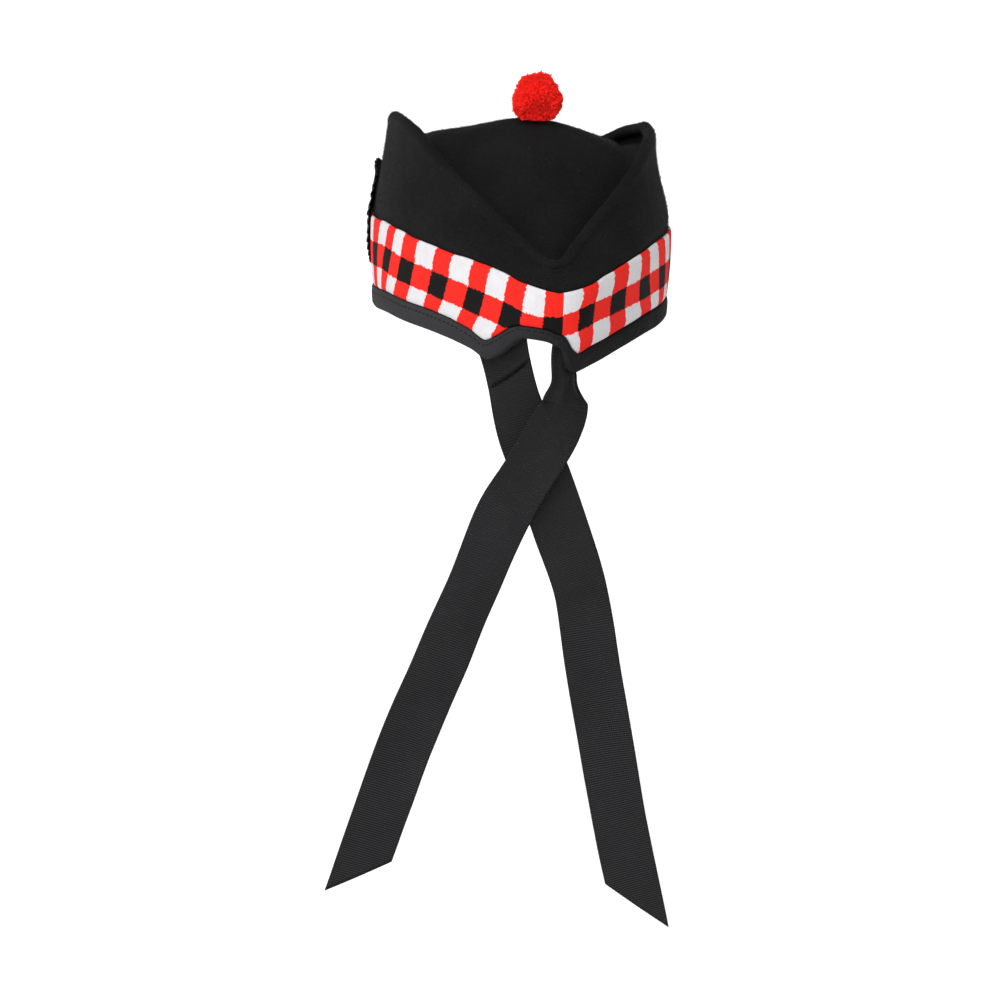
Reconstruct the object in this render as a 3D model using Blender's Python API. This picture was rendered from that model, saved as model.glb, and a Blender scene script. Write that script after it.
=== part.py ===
import math

import bpy
import bmesh
import numpy as np

# Glengarry cap, metres. The front faces -Y, the wearer's left is +X, and the rim at the back is at z = 0.

CAP_WIDTH = 0.1515       # across the rim at its widest
BACK_LENGTH = 0.132      # from the widest place to the back corner
FRONT_LENGTH = 0.102     # from the widest place to the front corner
BACK_CORNER = 0.1223     # how far the back corner is behind the origin
WALL_HEIGHT = 0.049      # from the lower edge to the top of the diced band
EAR_HEIGHT = 0.108       # of the rolled edge at its highest
RIGHT_DROP = 0.0035      # how much lower that is on the wearer's right
CREST_HEIGHT = 0.1135    # of the crown under the pompom

FELT = 0.0020            # thickness of the side felt
ROLL_RADIUS = 0.0032     # of the rolled top edge
CROWN_FELT = 0.0022      # crown thickness, measured upright
GAP = 0.0003             # between neighbouring pieces
VALLEY_DEPTH = 0.0026    # of the crown beside the rolled edge
VALLEY_WIDTH = 0.011
CREASE_DEPTH = 0.0012    # of the fold along the middle of the crown
CREASE_WIDTH = 0.0045
NARROW_CROWN = 0.030     # half width under which the crown has less room to sag
CROWN_START = 0.0044     # the crown begins where the rolled edge is this far from the middle

BAND_THICKNESS = 0.0015
BINDING_HEIGHT = 0.011   # of the binding where it runs straight
BINDING_FLAP = 0.0080    # how far it reaches up inside
BINDING_PROUD = 0.0025   # of the felt, outside
BINDING_SOLE = 0.0019    # its thickness under the felt's lower edge
ARCH_HEIGHT = 0.0186     # of the opening in the lower edge at the back
BINDING_ROUND = 0.0009   # of its folded corners
FLAP_THICKNESS = 0.0016

RIBBON_WIDTH = 0.0285
RIBBON_THICKNESS = 0.0010
RIBBON_DROP = 0.280      # from the rim to the cut ends, about
RIBBON_SPREAD = 0.090    # how far the wider tail leans out

TOORIE_RADIUS = 0.0124
TOORIE_LOCK = 0.0013     # how far each lock stands out
TOORIE_LOCKS = 96
TOORIE_POINTS = 1200
TOORIE_BACK = 0.027      # behind the origin
TOORIE_LIFT = 0.0117     # of its middle above the crest
TOORIE_FOOT = 0.006      # half width of the part that is sewn down
TOORIE_SOFT = 0.0016     # how gently it flattens there

COCKADE_HEIGHT = 0.060
COCKADE_WIDTH = 0.050
COCKADE_THICKNESS = 0.0016
COCKADE_PLEATS = 30
COCKADE_FOLD = 0.0010    # depth of the pleats
COCKADE_BUTTON = 0.0022  # how far the covered button stands out
COCKADE_UP = 0.044       # of its middle up the side

# heading of the rim, in degrees from straight across, by share of the way from corner to widest
RIM_HEADING = (
    ("share", "degrees"),
    (0.00, 0),
    (0.04, 20),
    (0.09, 41),
    (0.25, 51),
    (0.44, 55),
    (0.62, 62),
    (0.81, 77),
    (0.95, 87),
    (1.00, 90),
)

# place runs from 0 at the back corner through 1 at the widest to 2 at the front corner
RIM_ROWS = (
    ("place", "rise", "flare", "top", "lean"),   # rise and top as shares of WALL_HEIGHT, the rest in degrees
    (0.00, 0.000, 10.0, 0.930, 0.0),
    (0.07, 0.040, 10.0, 0.960, 0.0),
    (0.15, 0.085, 9.0, 0.990, 0.0),
    (0.35, 0.165, 7.5, 1.000, 0.3),
    (0.55, 0.205, 4.5, 1.000, 0.9),
    (0.75, 0.205, 2.6, 1.000, 1.6),
    (1.00, 0.130, 1.3, 1.000, 2.0),
    (1.30, 0.085, 1.6, 1.000, 2.0),
    (1.65, 0.060, 4.0, 1.000, 1.0),
    (2.00, 0.050, 5.0, 1.000, 0.0),
)

# the rolled edge: across is a share of half CAP_WIDTH, along of BACK_LENGTH, up of EAR_HEIGHT
EDGE_ROWS = (
    ("place", "across", "along", "up"),
    (0.00, 0.000, 0.850, 0.495),
    (0.06, 0.060, 0.828, 0.500),
    (0.15, 0.138, 0.750, 0.535),
    (0.30, 0.310, 0.600, 0.632),
    (0.45, 0.520, 0.470, 0.762),
    (0.60, 0.695, 0.335, 0.880),
    (0.75, 0.800, 0.185, 0.968),
    (0.90, 0.860, 0.030, 0.990),
    (1.05, 0.885, -0.120, 0.985),
    (1.20, 0.875, -0.275, 0.940),
    (1.35, 0.800, -0.420, 0.885),
    (1.50, 0.640, -0.545, 0.805),
    (1.65, 0.475, -0.645, 0.785),
    (1.80, 0.290, -0.725, 0.780),
    (1.92, 0.115, -0.775, 0.780),
    (2.00, 0.000, -0.785, 0.780),
)

# how the crown meets the rolled edge: how far below the roll it is sewn and how deep it sags beside it,
# as shares of VALLEY_DEPTH, and the width of the sag as a share of VALLEY_WIDTH
CROWN_EDGE_ROWS = (
    ("place", "drop", "sag", "width"),
    (0.00, 0.60, 0.60, 0.90),
    (0.30, 0.35, 0.90, 1.00),
    (0.55, 0.60, 1.10, 1.10),
    (0.80, 1.60, 1.40, 1.35),
    (1.00, 2.30, 1.60, 1.50),
    (1.20, 2.00, 1.40, 1.40),
    (1.45, 0.90, 0.90, 1.10),
    (1.75, 0.20, 0.60, 0.90),
    (2.00, 0.35, 0.50, 0.80),
)

# height of the middle of the crown, as a share of CREST_HEIGHT
CROWN_ROWS = (
    ("along", "up"),
    (0.850, 0.426),
    (0.750, 0.503),
    (0.600, 0.650),
    (0.465, 0.780),
    (0.335, 0.905),
    (0.240, 0.980),
    (0.160, 1.000),
    (0.030, 0.975),
    (-0.120, 0.920),
    (-0.275, 0.860),
    (-0.420, 0.805),
    (-0.545, 0.765),
    (-0.645, 0.740),
    (-0.725, 0.715),
    (-0.785, 0.699),
)

# the arch: place along the rim in metres towards the wearer's left, lower edge as a share of ARCH_HEIGHT,
# width of the binding as a share of BINDING_HEIGHT
ARCH_ROWS = (
    ("place", "lift", "width"),
    (-0.0400, 0.00, 1.00),
    (-0.0205, 0.00, 1.00),
    (-0.0123, 0.00, 0.92),
    (-0.0080, 0.24, 0.82),
    (-0.0035, 0.78, 0.62),
    (0.0000, 0.93, 0.58),
    (0.0040, 1.00, 0.58),
    (0.0140, 0.92, 0.58),
    (0.0220, 0.55, 0.84),
    (0.0320, 0.07, 0.93),
    (0.0400, -0.15, 0.90),
    (0.0500, -0.04, 0.93),
    (0.0640, 0.00, 1.00),
)

# the tails: x as a share of RIBBON_SPREAD, y of BACK_CORNER, z of RIBBON_DROP, facing in degrees in plan,
# width and bow, how far its middle stands proud of its edges, as shares of RIBBON_WIDTH
RIBBON_LEFT_ROWS = (
    ("x", "y", "z", "facing", "width", "bow"),
    (0.264, 0.810, 0.064, 42, 0.98, 0.030),
    (0.230, 0.832, 0.028, 43, 1.00, 0.030),
    (0.182, 0.860, -0.045, 58, 0.95, 0.020),
    (0.105, 0.890, -0.120, 76, 1.00, 0.000),
    (0.005, 0.905, -0.195, 86, 1.00, -0.020),
    (-0.105, 0.905, -0.285, 90, 1.00, 0.000),
    (-0.250, 0.900, -0.415, 96, 0.97, 0.030),
    (-0.330, 0.912, -0.545, 90, 1.00, 0.000),
    (-0.430, 0.898, -0.690, 84, 1.00, -0.030),
    (-0.535, 0.905, -0.845, 92, 1.00, 0.000),
    (-0.681, 0.900, -1.033, 90, 1.00, 0.020),
)
RIBBON_RIGHT_ROWS = (
    ("x", "y", "z", "facing", "width", "bow"),
    (-0.052, 0.930, 0.062, 108, 0.72, 0.120),
    (-0.080, 0.928, 0.030, 108, 0.66, 0.100),
    (-0.098, 0.930, -0.010, 108, 0.57, 0.050),
    (-0.094, 0.953, -0.052, 100, 0.87, 0.030),
    (-0.032, 0.966, -0.100, 92, 0.96, 0.000),
    (0.100, 0.965, -0.180, 88, 0.95, -0.020),
    (0.230, 0.955, -0.260, 90, 1.00, 0.000),
    (0.378, 0.955, -0.390, 95, 0.97, 0.030),
    (0.560, 0.965, -0.545, 90, 1.00, 0.000),
    (0.730, 0.948, -0.700, 84, 1.00, -0.030),
    (0.975, 0.958, -0.956, 92, 1.00, 0.020),
)
ROOT_HEIGHTS = (0.0064, 0.0040, 0.0016, -0.0010, -0.0038, -0.0070)   # rows held against the binding
LEFT_CUT = 0.034         # how much further the outer corner of each cut end reaches along the tail
RIGHT_CUT = 0.0246
LEFT_ROOT = 0.0350       # where each tail is sewn in, along the rim from the back corner, and how wide
LEFT_ROOT_WIDTH = 0.0375
RIGHT_ROOT = -0.0110
RIGHT_ROOT_WIDTH = 0.0212

SEGMENTS_BACK = 15       # stations along the rim: near the back corner, along the side, round the front
SEGMENTS_SIDE = 9
SEGMENTS_FRONT = 10


def column(table, name):
    return np.array([row[table[0].index(name)] for row in table[1:]], float)


def follow(table, key, name, at):
    """Smooth curve through one column of a table: cubic pieces with limited slopes, so none overshoots."""
    x, y = column(table, key), column(table, name)
    if x[0] > x[-1]:
        x, y = x[::-1], y[::-1]
    h, d = np.diff(x), np.diff(y) / np.diff(x)
    slope = np.zeros_like(x)
    same = d[:-1] * d[1:] > 0
    w1, w2 = 2 * h[1:] + h[:-1], h[1:] + 2 * h[:-1]
    with np.errstate(divide="ignore", invalid="ignore"):
        mean = (w1 + w2) / (w1 / d[:-1] + w2 / d[1:])
    slope[1:-1] = np.where(same, mean, 0)
    slope[0], slope[-1] = d[0], d[-1]
    at = np.clip(np.asarray(at, float), x[0], x[-1])
    i = np.clip(np.searchsorted(x, at) - 1, 0, len(h) - 1)
    u = (at - x[i]) / h[i]
    return (
        (1 + 2 * u) * (1 - u) ** 2 * y[i]
        + u * (1 - u) ** 2 * h[i] * slope[i]
        + u * u * (3 - 2 * u) * y[i + 1]
        + u * u * (u - 1) * h[i] * slope[i + 1]
    )


def quarter_plan():
    """Quarter of the rim with unit half width and unit length, from the table of headings."""
    share = np.linspace(0, 1, 401)
    angle = np.radians(np.interp(share, column(RIM_HEADING, "share"), column(RIM_HEADING, "degrees")))
    mid = (angle[1:] + angle[:-1]) / 2
    across = np.concatenate([[0], np.cumsum(np.cos(mid))])
    along = np.concatenate([[0], np.cumsum(np.sin(mid))])
    return share, across / across[-1], along / along[-1]


SHARE, ACROSS, ALONG = quarter_plan()
WIDEST = BACK_CORNER - BACK_LENGTH
QUARTER_ARC = float(np.sum(np.hypot(
    np.diff(ACROSS) * CAP_WIDTH / 2, np.diff(ALONG) * BACK_LENGTH)))


def rim(place):
    """Lower edge at place 0 to 2 on the wearer's left, negative places on the right."""
    p = np.abs(np.asarray(place, float))
    q = np.where(p <= 1, p, 2 - p)
    x = np.interp(q, SHARE, ACROSS) * CAP_WIDTH / 2 * np.sign(np.where(place == 0, 1, place))
    back = BACK_CORNER - np.interp(q, SHARE, ALONG) * BACK_LENGTH
    front = WIDEST - FRONT_LENGTH + np.interp(q, SHARE, ALONG) * FRONT_LENGTH
    rise = follow(RIM_ROWS, "place", "rise", p) * WALL_HEIGHT
    return np.stack([x, np.where(p <= 1, back, front), rise], -1)


def lean(place):
    """How far the cloth leans to the wearer's left, as an angle."""
    return np.radians(follow(RIM_ROWS, "place", "lean", np.abs(place)))


def edge(place):
    """Middle of the rolled top edge."""
    p = np.abs(np.asarray(place, float))
    x = follow(EDGE_ROWS, "place", "across", p) * CAP_WIDTH / 2 * np.sign(np.where(place == 0, 1, place))
    x = x + WALL_HEIGHT * np.sin(lean(p))
    drop = np.where(place < 0, RIGHT_DROP * np.exp(-((p - 0.92) / 0.25) ** 2), 0)
    return np.stack([x, follow(EDGE_ROWS, "place", "along", p) * BACK_LENGTH,
                     follow(EDGE_ROWS, "place", "up", p) * EAR_HEIGHT - drop], -1)


def stations():
    half = np.concatenate([
        0.42 * np.linspace(0, 1, SEGMENTS_BACK + 1) ** 1.25,
        np.linspace(0.42, 1.15, SEGMENTS_SIDE + 1)[1:],
        np.linspace(1.15, 2.0, SEGMENTS_FRONT + 1)[1:],
    ])
    return half, np.concatenate([half, -half[1:-1][::-1]])


def outward(points):
    """Level unit normals of a closed loop of points, facing away from its middle."""
    run = np.roll(points, -1, 0) - np.roll(points, 1, 0)
    normal = np.stack([run[:, 1], -run[:, 0], np.zeros(len(run))], -1)
    normal /= np.linalg.norm(normal, axis=1)[:, None]
    middle = points.mean(0)
    return normal * np.where(((points - middle) * normal).sum(1).mean() < 0, -1, 1)


HALF, LOOP = stations()
RIM = rim(LOOP)
EDGE = edge(LOOP)
RIM_OUT = outward(RIM)
EDGE_OUT = outward(EDGE)
ARC = LOOP * QUARTER_ARC
FLARE = np.radians(follow(RIM_ROWS, "place", "flare", np.abs(LOOP)))
UP = np.array([0.0, 0.0, 1.0])
RISE = (RIM_OUT * np.sin(FLARE)[:, None] + UP * np.cos(FLARE)[:, None]
        + np.array([1.0, 0.0, 0.0]) * np.sin(lean(LOOP))[:, None])


def arch(name):
    inside = np.abs(LOOP) < 1
    value = follow(ARCH_ROWS, "place", name, ARC)
    return np.where(inside, value, 0.0 if name == "lift" else 1.0)


LOW = arch("lift") * ARCH_HEIGHT
WALL_TOP = follow(RIM_ROWS, "place", "top", np.abs(LOOP)) * WALL_HEIGHT
BINDING_TOP = LOW + arch("width") * BINDING_HEIGHT


def clearance(height):
    """Upright gap that leaves GAP square to a line of this height along the rim."""
    steep = (np.roll(height, -1) - np.roll(height, 1)) / (np.roll(ARC, -1) - np.roll(ARC, 1))
    return 1.15 * GAP * np.hypot(1, steep)


def on_wall(height, out):
    """Points at a height up the lower wall and a distance out from the felt's outer face."""
    height, out = np.broadcast_to(height, len(LOOP)), np.broadcast_to(out, len(LOOP))
    return RIM + RISE * height[:, None] + RIM_OUT * out[:, None]


def collection(name, hidden=False):
    made = bpy.data.collections.new(name)
    bpy.context.scene.collection.children.link(made)
    made.hide_render = hidden
    return made


def material(name, colour, rough):
    made = bpy.data.materials.new(name)
    made.use_nodes = True
    shader = made.node_tree.nodes["Principled BSDF"]
    shader.inputs["Base Color"].default_value = (*colour, 1)
    shader.inputs["Roughness"].default_value = rough
    made.diffuse_color = (*colour, 1)
    return made


def add_mesh(name, points, faces, finish, smooth=True):
    mesh = bpy.data.meshes.new(name)
    mesh.from_pydata([tuple(p) for p in points], [], [tuple(f) for f in faces])
    work = bmesh.new()
    work.from_mesh(mesh)
    bmesh.ops.remove_doubles(work, verts=work.verts, dist=1e-7)
    bmesh.ops.recalc_face_normals(work, faces=work.faces)
    work.to_mesh(mesh)
    work.free()
    for face in mesh.polygons:
        face.use_smooth = smooth
    mesh.materials.append(finish)
    obj = bpy.data.objects.new(name, mesh)
    PARTS.objects.link(obj)
    return obj


def ring(name, sections, finish):
    """A closed section carried round a closed loop: sections is stations x points x 3."""
    n, m, _ = sections.shape
    index = np.arange(n * m).reshape(n, m)
    nxt, side = np.roll(index, -1, 0), np.roll(index, -1, 1)
    faces = np.stack([index, side, np.roll(nxt, -1, 1), nxt], -1).reshape(-1, 4)
    return add_mesh(name, sections.reshape(-1, 3), faces, finish)


def sheet(name, top, bottom, finish):
    """A sheet with thickness from two grids of points, closed round its border."""
    n, m, _ = top.shape
    a = np.arange(n * m).reshape(n, m)
    b = a + n * m
    quads = [np.stack([a[:-1, :-1], a[1:, :-1], a[1:, 1:], a[:-1, 1:]], -1).reshape(-1, 4),
             np.stack([b[:-1, :-1], b[:-1, 1:], b[1:, 1:], b[1:, :-1]], -1).reshape(-1, 4)]
    border = np.concatenate([a[0, :-1], a[:-1, -1], a[-1, :0:-1], a[:0:-1, 0]])
    after = np.roll(border, -1)
    quads.append(np.stack([border, after, after + n * m, border + n * m], -1))
    return add_mesh(name, np.concatenate([top.reshape(-1, 3), bottom.reshape(-1, 3)]),
                    np.concatenate(quads), finish)


def resample(line, lengths):
    run = np.concatenate([[0], np.cumsum(np.linalg.norm(np.diff(line, axis=0), axis=1))])
    at = np.clip(lengths * run[-1], 0, run[-1])
    return np.stack([np.interp(at, run, line[:, k]) for k in range(3)], -1)


def outer_wall(levels_low, levels_high):
    """Outer face of the side felt: up the straight wall, then in a curve to the rolled edge."""
    start = LOW + BINDING_SOLE + clearance(LOW)
    low = [on_wall(start + (WALL_TOP - start) * v, 0.0) for v in levels_low]
    top = on_wall(WALL_TOP, 0.0)
    end = EDGE + EDGE_OUT * ROLL_RADIUS
    reach = np.maximum(end[:, 2] - top[:, 2], 0.004)[:, None]
    first, second = top + RISE * reach * 0.26, end - UP * reach * 0.34
    high = [((1 - w) ** 3) * top + 3 * w * (1 - w) ** 2 * first + 3 * w * w * (1 - w) * second + w ** 3 * end
            for w in levels_high]
    return np.stack(low + high, 1)


def inner_wall():
    """Inner face of the side felt, from the rolled edge down."""
    dense = outer_wall(np.linspace(0, 1, 12)[:-1], np.linspace(0, 1, 26))
    normal = np.cross(np.roll(dense, -1, 0) - np.roll(dense, 1, 0), np.gradient(dense, axis=1))
    normal /= np.linalg.norm(normal, axis=2)[..., None]
    normal *= np.sign((normal * RIM_OUT[:, None]).sum())
    return (dense - normal * FELT)[:, ::-1]


INNER = inner_wall()


def down_inside(lengths):
    """Points on the inner face, each this far below the rolled edge's widest line."""
    lengths = np.broadcast_to(lengths, len(LOOP))
    found = []
    for line, length in zip(INNER, lengths):
        run = np.concatenate([[0], np.cumsum(np.linalg.norm(np.diff(line, axis=0), axis=1))])
        found.append([np.interp(length, run, line[:, k]) for k in range(3)])
    return np.array(found)


def make_side_panels():
    outer = outer_wall((0, 0.5), (0, 0.12, 0.35, 0.62, 0.85, 1.0))
    turn = np.radians([45, 90, 135, 180, 228, 275])
    roll = (EDGE[:, None] + ROLL_RADIUS * (EDGE_OUT[:, None] * np.cos(turn)[None, :, None]
                                           + UP * np.sin(turn)[None, :, None]))
    sections = []
    for k in range(len(LOOP)):
        total = np.sum(np.linalg.norm(np.diff(INNER[k], axis=0), axis=1))
        shares = np.linspace(1.05 * ROLL_RADIUS / total, 1, 6)
        sections.append(np.concatenate([outer[k], roll[k], resample(INNER[k], shares)]))
    return ring("side_panels", np.array(sections), FELT_BLACK)


def make_crown_panel():
    """Rows run square off one rolled edge, over the middle and square onto the other."""
    left = np.flatnonzero((EDGE[:, 0] > CROWN_START) & (LOOP > 0))
    right = len(LOOP) - left
    place = LOOP[left]
    drop = follow(CROWN_EDGE_ROWS, "place", "drop", np.abs(LOOP)) * VALLEY_DEPTH
    sag = follow(CROWN_EDGE_ROWS, "place", "sag", place)[:, None] * VALLEY_DEPTH
    wide = follow(CROWN_EDGE_ROWS, "place", "width", place)[:, None] * VALLEY_WIDTH
    brink = down_inside(ROLL_RADIUS + 2 * GAP + drop) - EDGE_OUT * 1.8 * GAP
    turned = EDGE_OUT[:, 1] / np.maximum(np.abs(EDGE_OUT[:, 0]), 0.3)
    square_off = np.abs(brink[:, 0]) * np.clip(np.abs(brink[:, 0]) / NARROW_CROWN, 0, 1)
    middle_y = brink[:, 1] - 0.45 * square_off * np.clip(turned, -1.2, 1.2)
    middle_y = (middle_y[left] + middle_y[right]) / 2
    middle_x = (brink[left, 0] + brink[right, 0]) / 2
    middle_z = follow(CROWN_ROWS, "along", "up", middle_y / BACK_LENGTH) * CREST_HEIGHT
    centre = np.stack([middle_x, middle_y], -1)
    s = np.sin(np.linspace(0, 1, 8) * math.pi / 2)[None, :, None]
    halves = []
    for which, sign in ((left, 1.0), (right, -1.0)):
        start, out = brink[which], EDGE_OUT[which]
        half = np.abs(start[:, 0] - middle_x)
        pull = half[:, None] * 0.5
        b, c = start[:, :2] - out[:, :2] * pull, centre + np.array([sign, 0.0]) * pull
        plan = ((1 - s) ** 3 * start[:, None, :2] + 3 * s * (1 - s) ** 2 * b[:, None]
                + 3 * s * s * (1 - s) * c[:, None] + s ** 3 * centre[:, None])
        steps = np.linalg.norm(np.diff(plan, axis=1), axis=2)
        inset = np.concatenate([0 * half[:, None], np.cumsum(steps, 1)], 1)
        bare = 2 * ROLL_RADIUS - FELT + GAP
        w = np.clip((inset - bare) / np.maximum(inset[:, -1:] - bare, 0.001), 0, 1)
        dome = w * w * (3 - 2 * w) * 0.5 + (1 - (1 - w) ** 2) * 0.5
        room = np.clip(half / NARROW_CROWN, 0, 1)[:, None]
        dip = np.exp(-((inset - 0.62 * wide) / (0.40 * wide)) ** 2) * room
        beside = np.abs(plan[..., 0] - middle_x[:, None])
        opened = np.clip((half - CROWN_START) / 0.66 / NARROW_CROWN, 0, 1)[:, None]
        crease = np.exp(-(beside / CREASE_WIDTH) ** 1.5) * opened
        z = start[:, 2:] + (middle_z - start[:, 2])[:, None] * dome - sag * dip - CREASE_DEPTH * crease
        halves.append(np.concatenate([plan, z[..., None]], -1))
    halves[0][:, -1, 2] = (halves[0][:, -1, 2] + halves[1][:, -1, 2]) / 2
    top = np.concatenate([halves[0], halves[1][:, -2::-1]], 1)
    return sheet("crown_panel", top, top - UP * CROWN_FELT, CROWN_BLACK), top


def make_diced_band():
    low = BINDING_TOP + clearance(BINDING_TOP)
    high = WALL_TOP - 0.0006
    out_in, out = 2 * GAP, 2 * GAP + BAND_THICKNESS
    rows = [on_wall(low, out_in), on_wall(low, out), on_wall((low + high) / 2, out + 0.0001),
            on_wall(high - 0.0003, out), on_wall(high, out - 0.0004), on_wall(high, out_in)]
    return ring("diced_band", np.stack(rows, 1), DICED_CLOTH)


def make_edge_binding():
    low, top = LOW, BINDING_TOP
    middle = (low + top) / 2
    inner = low + np.minimum(BINDING_FLAP, 0.9 * (top - low))
    proud, back = BINDING_PROUD, -(FELT + 1.5 * GAP)
    turn, flap = BINDING_ROUND, FLAP_THICKNESS
    rows = [on_wall(top, GAP), on_wall(top, proud - turn), on_wall(top - 0.8 * turn, proud - 0.1 * turn),
            on_wall(middle, proud + 0.2 * turn), on_wall(low + turn, proud - 0.2 * turn),
            on_wall(low, proud - 1.2 * turn), on_wall(low, back - turn), on_wall(low + turn, back - flap),
            on_wall(inner, back - flap),
            on_wall(inner, back), on_wall(low + BINDING_SOLE, back), on_wall(low + BINDING_SOLE, GAP)]
    return ring("edge_binding", np.stack(rows, 1), BINDING_BLACK)


def root_rows(place, width, heights, across):
    """Rows of points that lie against the inside of the binding, which they follow round the corner."""
    order = np.argsort(ARC)
    inside = np.abs(ARC[order]) < 0.08
    arc = ARC[order][inside]
    back = -(FELT + 3 * GAP + FLAP_THICKNESS + RIBBON_THICKNESS / 2)
    rows = []
    for height in heights:
        line = on_wall(LOW + height, back)[order][inside]
        rows.append([[np.interp(place + a * width, arc, line[:, k]) for k in range(3)] for a in across])
    return np.array(rows)


def make_ribbon(name, table, outer_side, root_place, root_width, tail_cut):
    """A flat tail along a smooth path; outer_side says which edge hangs lower at the cut."""
    rows = len(table) - 1
    key = tuple([("n",) + table[0]] + [(k,) + row for k, row in enumerate(table[1:])])
    at = np.linspace(0, rows - 1, 31)
    path = np.stack([follow(key, "n", "x", at) * RIBBON_SPREAD, follow(key, "n", "y", at) * BACK_CORNER,
                     follow(key, "n", "z", at) * RIBBON_DROP], -1)
    facing = np.radians(follow(key, "n", "facing", at))
    width = follow(key, "n", "width", at) * RIBBON_WIDTH
    run = np.gradient(path, axis=0)
    run /= np.linalg.norm(run, axis=1)[:, None]
    face = np.stack([np.cos(facing), np.sin(facing), 0 * facing], -1)
    side = np.cross(run, face)
    side /= np.linalg.norm(side, axis=1)[:, None]
    side *= np.sign(side[-1, 0])
    normal = np.cross(side, run)
    normal *= np.sign(normal[:, 1])[:, None]
    across = np.linspace(-0.5, 0.5, 5)
    cut = np.clip((at - (rows - 2)) / 1.0, 0, 1)[:, None] * (across * outer_side)[None] * tail_cut
    bow = follow(key, "n", "bow", at)[:, None] * RIBBON_WIDTH * (1 - 4 * across[None] ** 2)
    middle = (path[:, None] + side[:, None] * (across[None] * width[:, None])[..., None]
              + run[:, None] * cut[..., None] + normal[:, None] * bow[..., None])
    root = root_rows(root_place, root_width, ROOT_HEIGHTS, across)
    hold = np.clip((len(ROOT_HEIGHTS) - np.arange(len(at))) / 4, 0, 1)[:len(ROOT_HEIGHTS), None, None]
    hold = hold * hold * (3 - 2 * hold)
    middle[:len(ROOT_HEIGHTS)] = root * hold + middle[:len(ROOT_HEIGHTS)] * (1 - hold)
    run, over = np.gradient(middle, axis=0), np.gradient(middle, axis=1)
    normal = np.cross(over, run)
    normal /= np.linalg.norm(normal, axis=2)[..., None]
    normal *= np.sign(normal[-1, 2, 1])
    half = normal * RIBBON_THICKNESS / 2
    return sheet(name, middle + half, middle - half, RIBBON_BLACK)


def make_toorie(crown_top):
    """A ball of cut yarn ends: a sphere pushed out in locks, flattened where it is sewn down."""
    n = np.arange(TOORIE_POINTS) + 0.5
    tilt, spin = np.arccos(1 - 2 * n / TOORIE_POINTS), math.pi * (1 + 5 ** 0.5) * n
    points = np.stack([np.cos(spin) * np.sin(tilt), np.sin(spin) * np.sin(tilt), np.cos(tilt)], -1)
    work = bmesh.new()
    for p in points:
        work.verts.new(p)
    bmesh.ops.convex_hull(work, input=work.verts)
    work.verts.index_update()
    points = np.array([v.co[:] for v in work.verts])
    faces = [[v.index for v in f.verts] for f in work.faces]
    work.free()
    n = np.arange(TOORIE_LOCKS) + 0.5
    tilt, spin = np.arccos(1 - 2 * n / TOORIE_LOCKS), math.pi * (1 + 5 ** 0.5) * n
    ends = np.stack([np.cos(spin) * np.sin(tilt), np.sin(spin) * np.sin(tilt), np.cos(tilt)], -1)
    near = np.arccos(np.clip(points @ ends.T, -1, 1)).min(1)
    reach = math.sqrt(4 * math.pi / TOORIE_LOCKS) * 0.62
    lock = np.clip(1 - (near / reach) ** 2, 0, 1) ** 0.7
    which = np.argmax(points @ ends.T, 1)
    uneven = 0.5 + 0.5 * np.sin(which * 2.399)
    lump = 0.05 * np.sin(2.1 * points[:, 0] + 1.3) * np.cos(1.7 * points[:, 2] + 0.4)
    size = TOORIE_RADIUS * (1 + lump) + TOORIE_LOCK * lock * (0.65 + 0.35 * uneven)
    ball = points * size[:, None]
    centre = np.array([0.0, TOORIE_BACK, CREST_HEIGHT + TOORIE_LIFT])
    ball = ball + centre
    under = np.linalg.norm(crown_top[..., :2] - centre[:2], axis=-1) < TOORIE_FOOT
    ground = crown_top[under][:, 2].max() + GAP
    soft = TOORIE_SOFT
    sink = np.maximum(ground + soft - ball[:, 2], 0)
    ball[:, 2] = np.where(sink > 0, ground + soft - soft * np.tanh(sink / soft), ball[:, 2])
    return add_mesh("toorie", ball, faces, YARN_RED)


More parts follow.
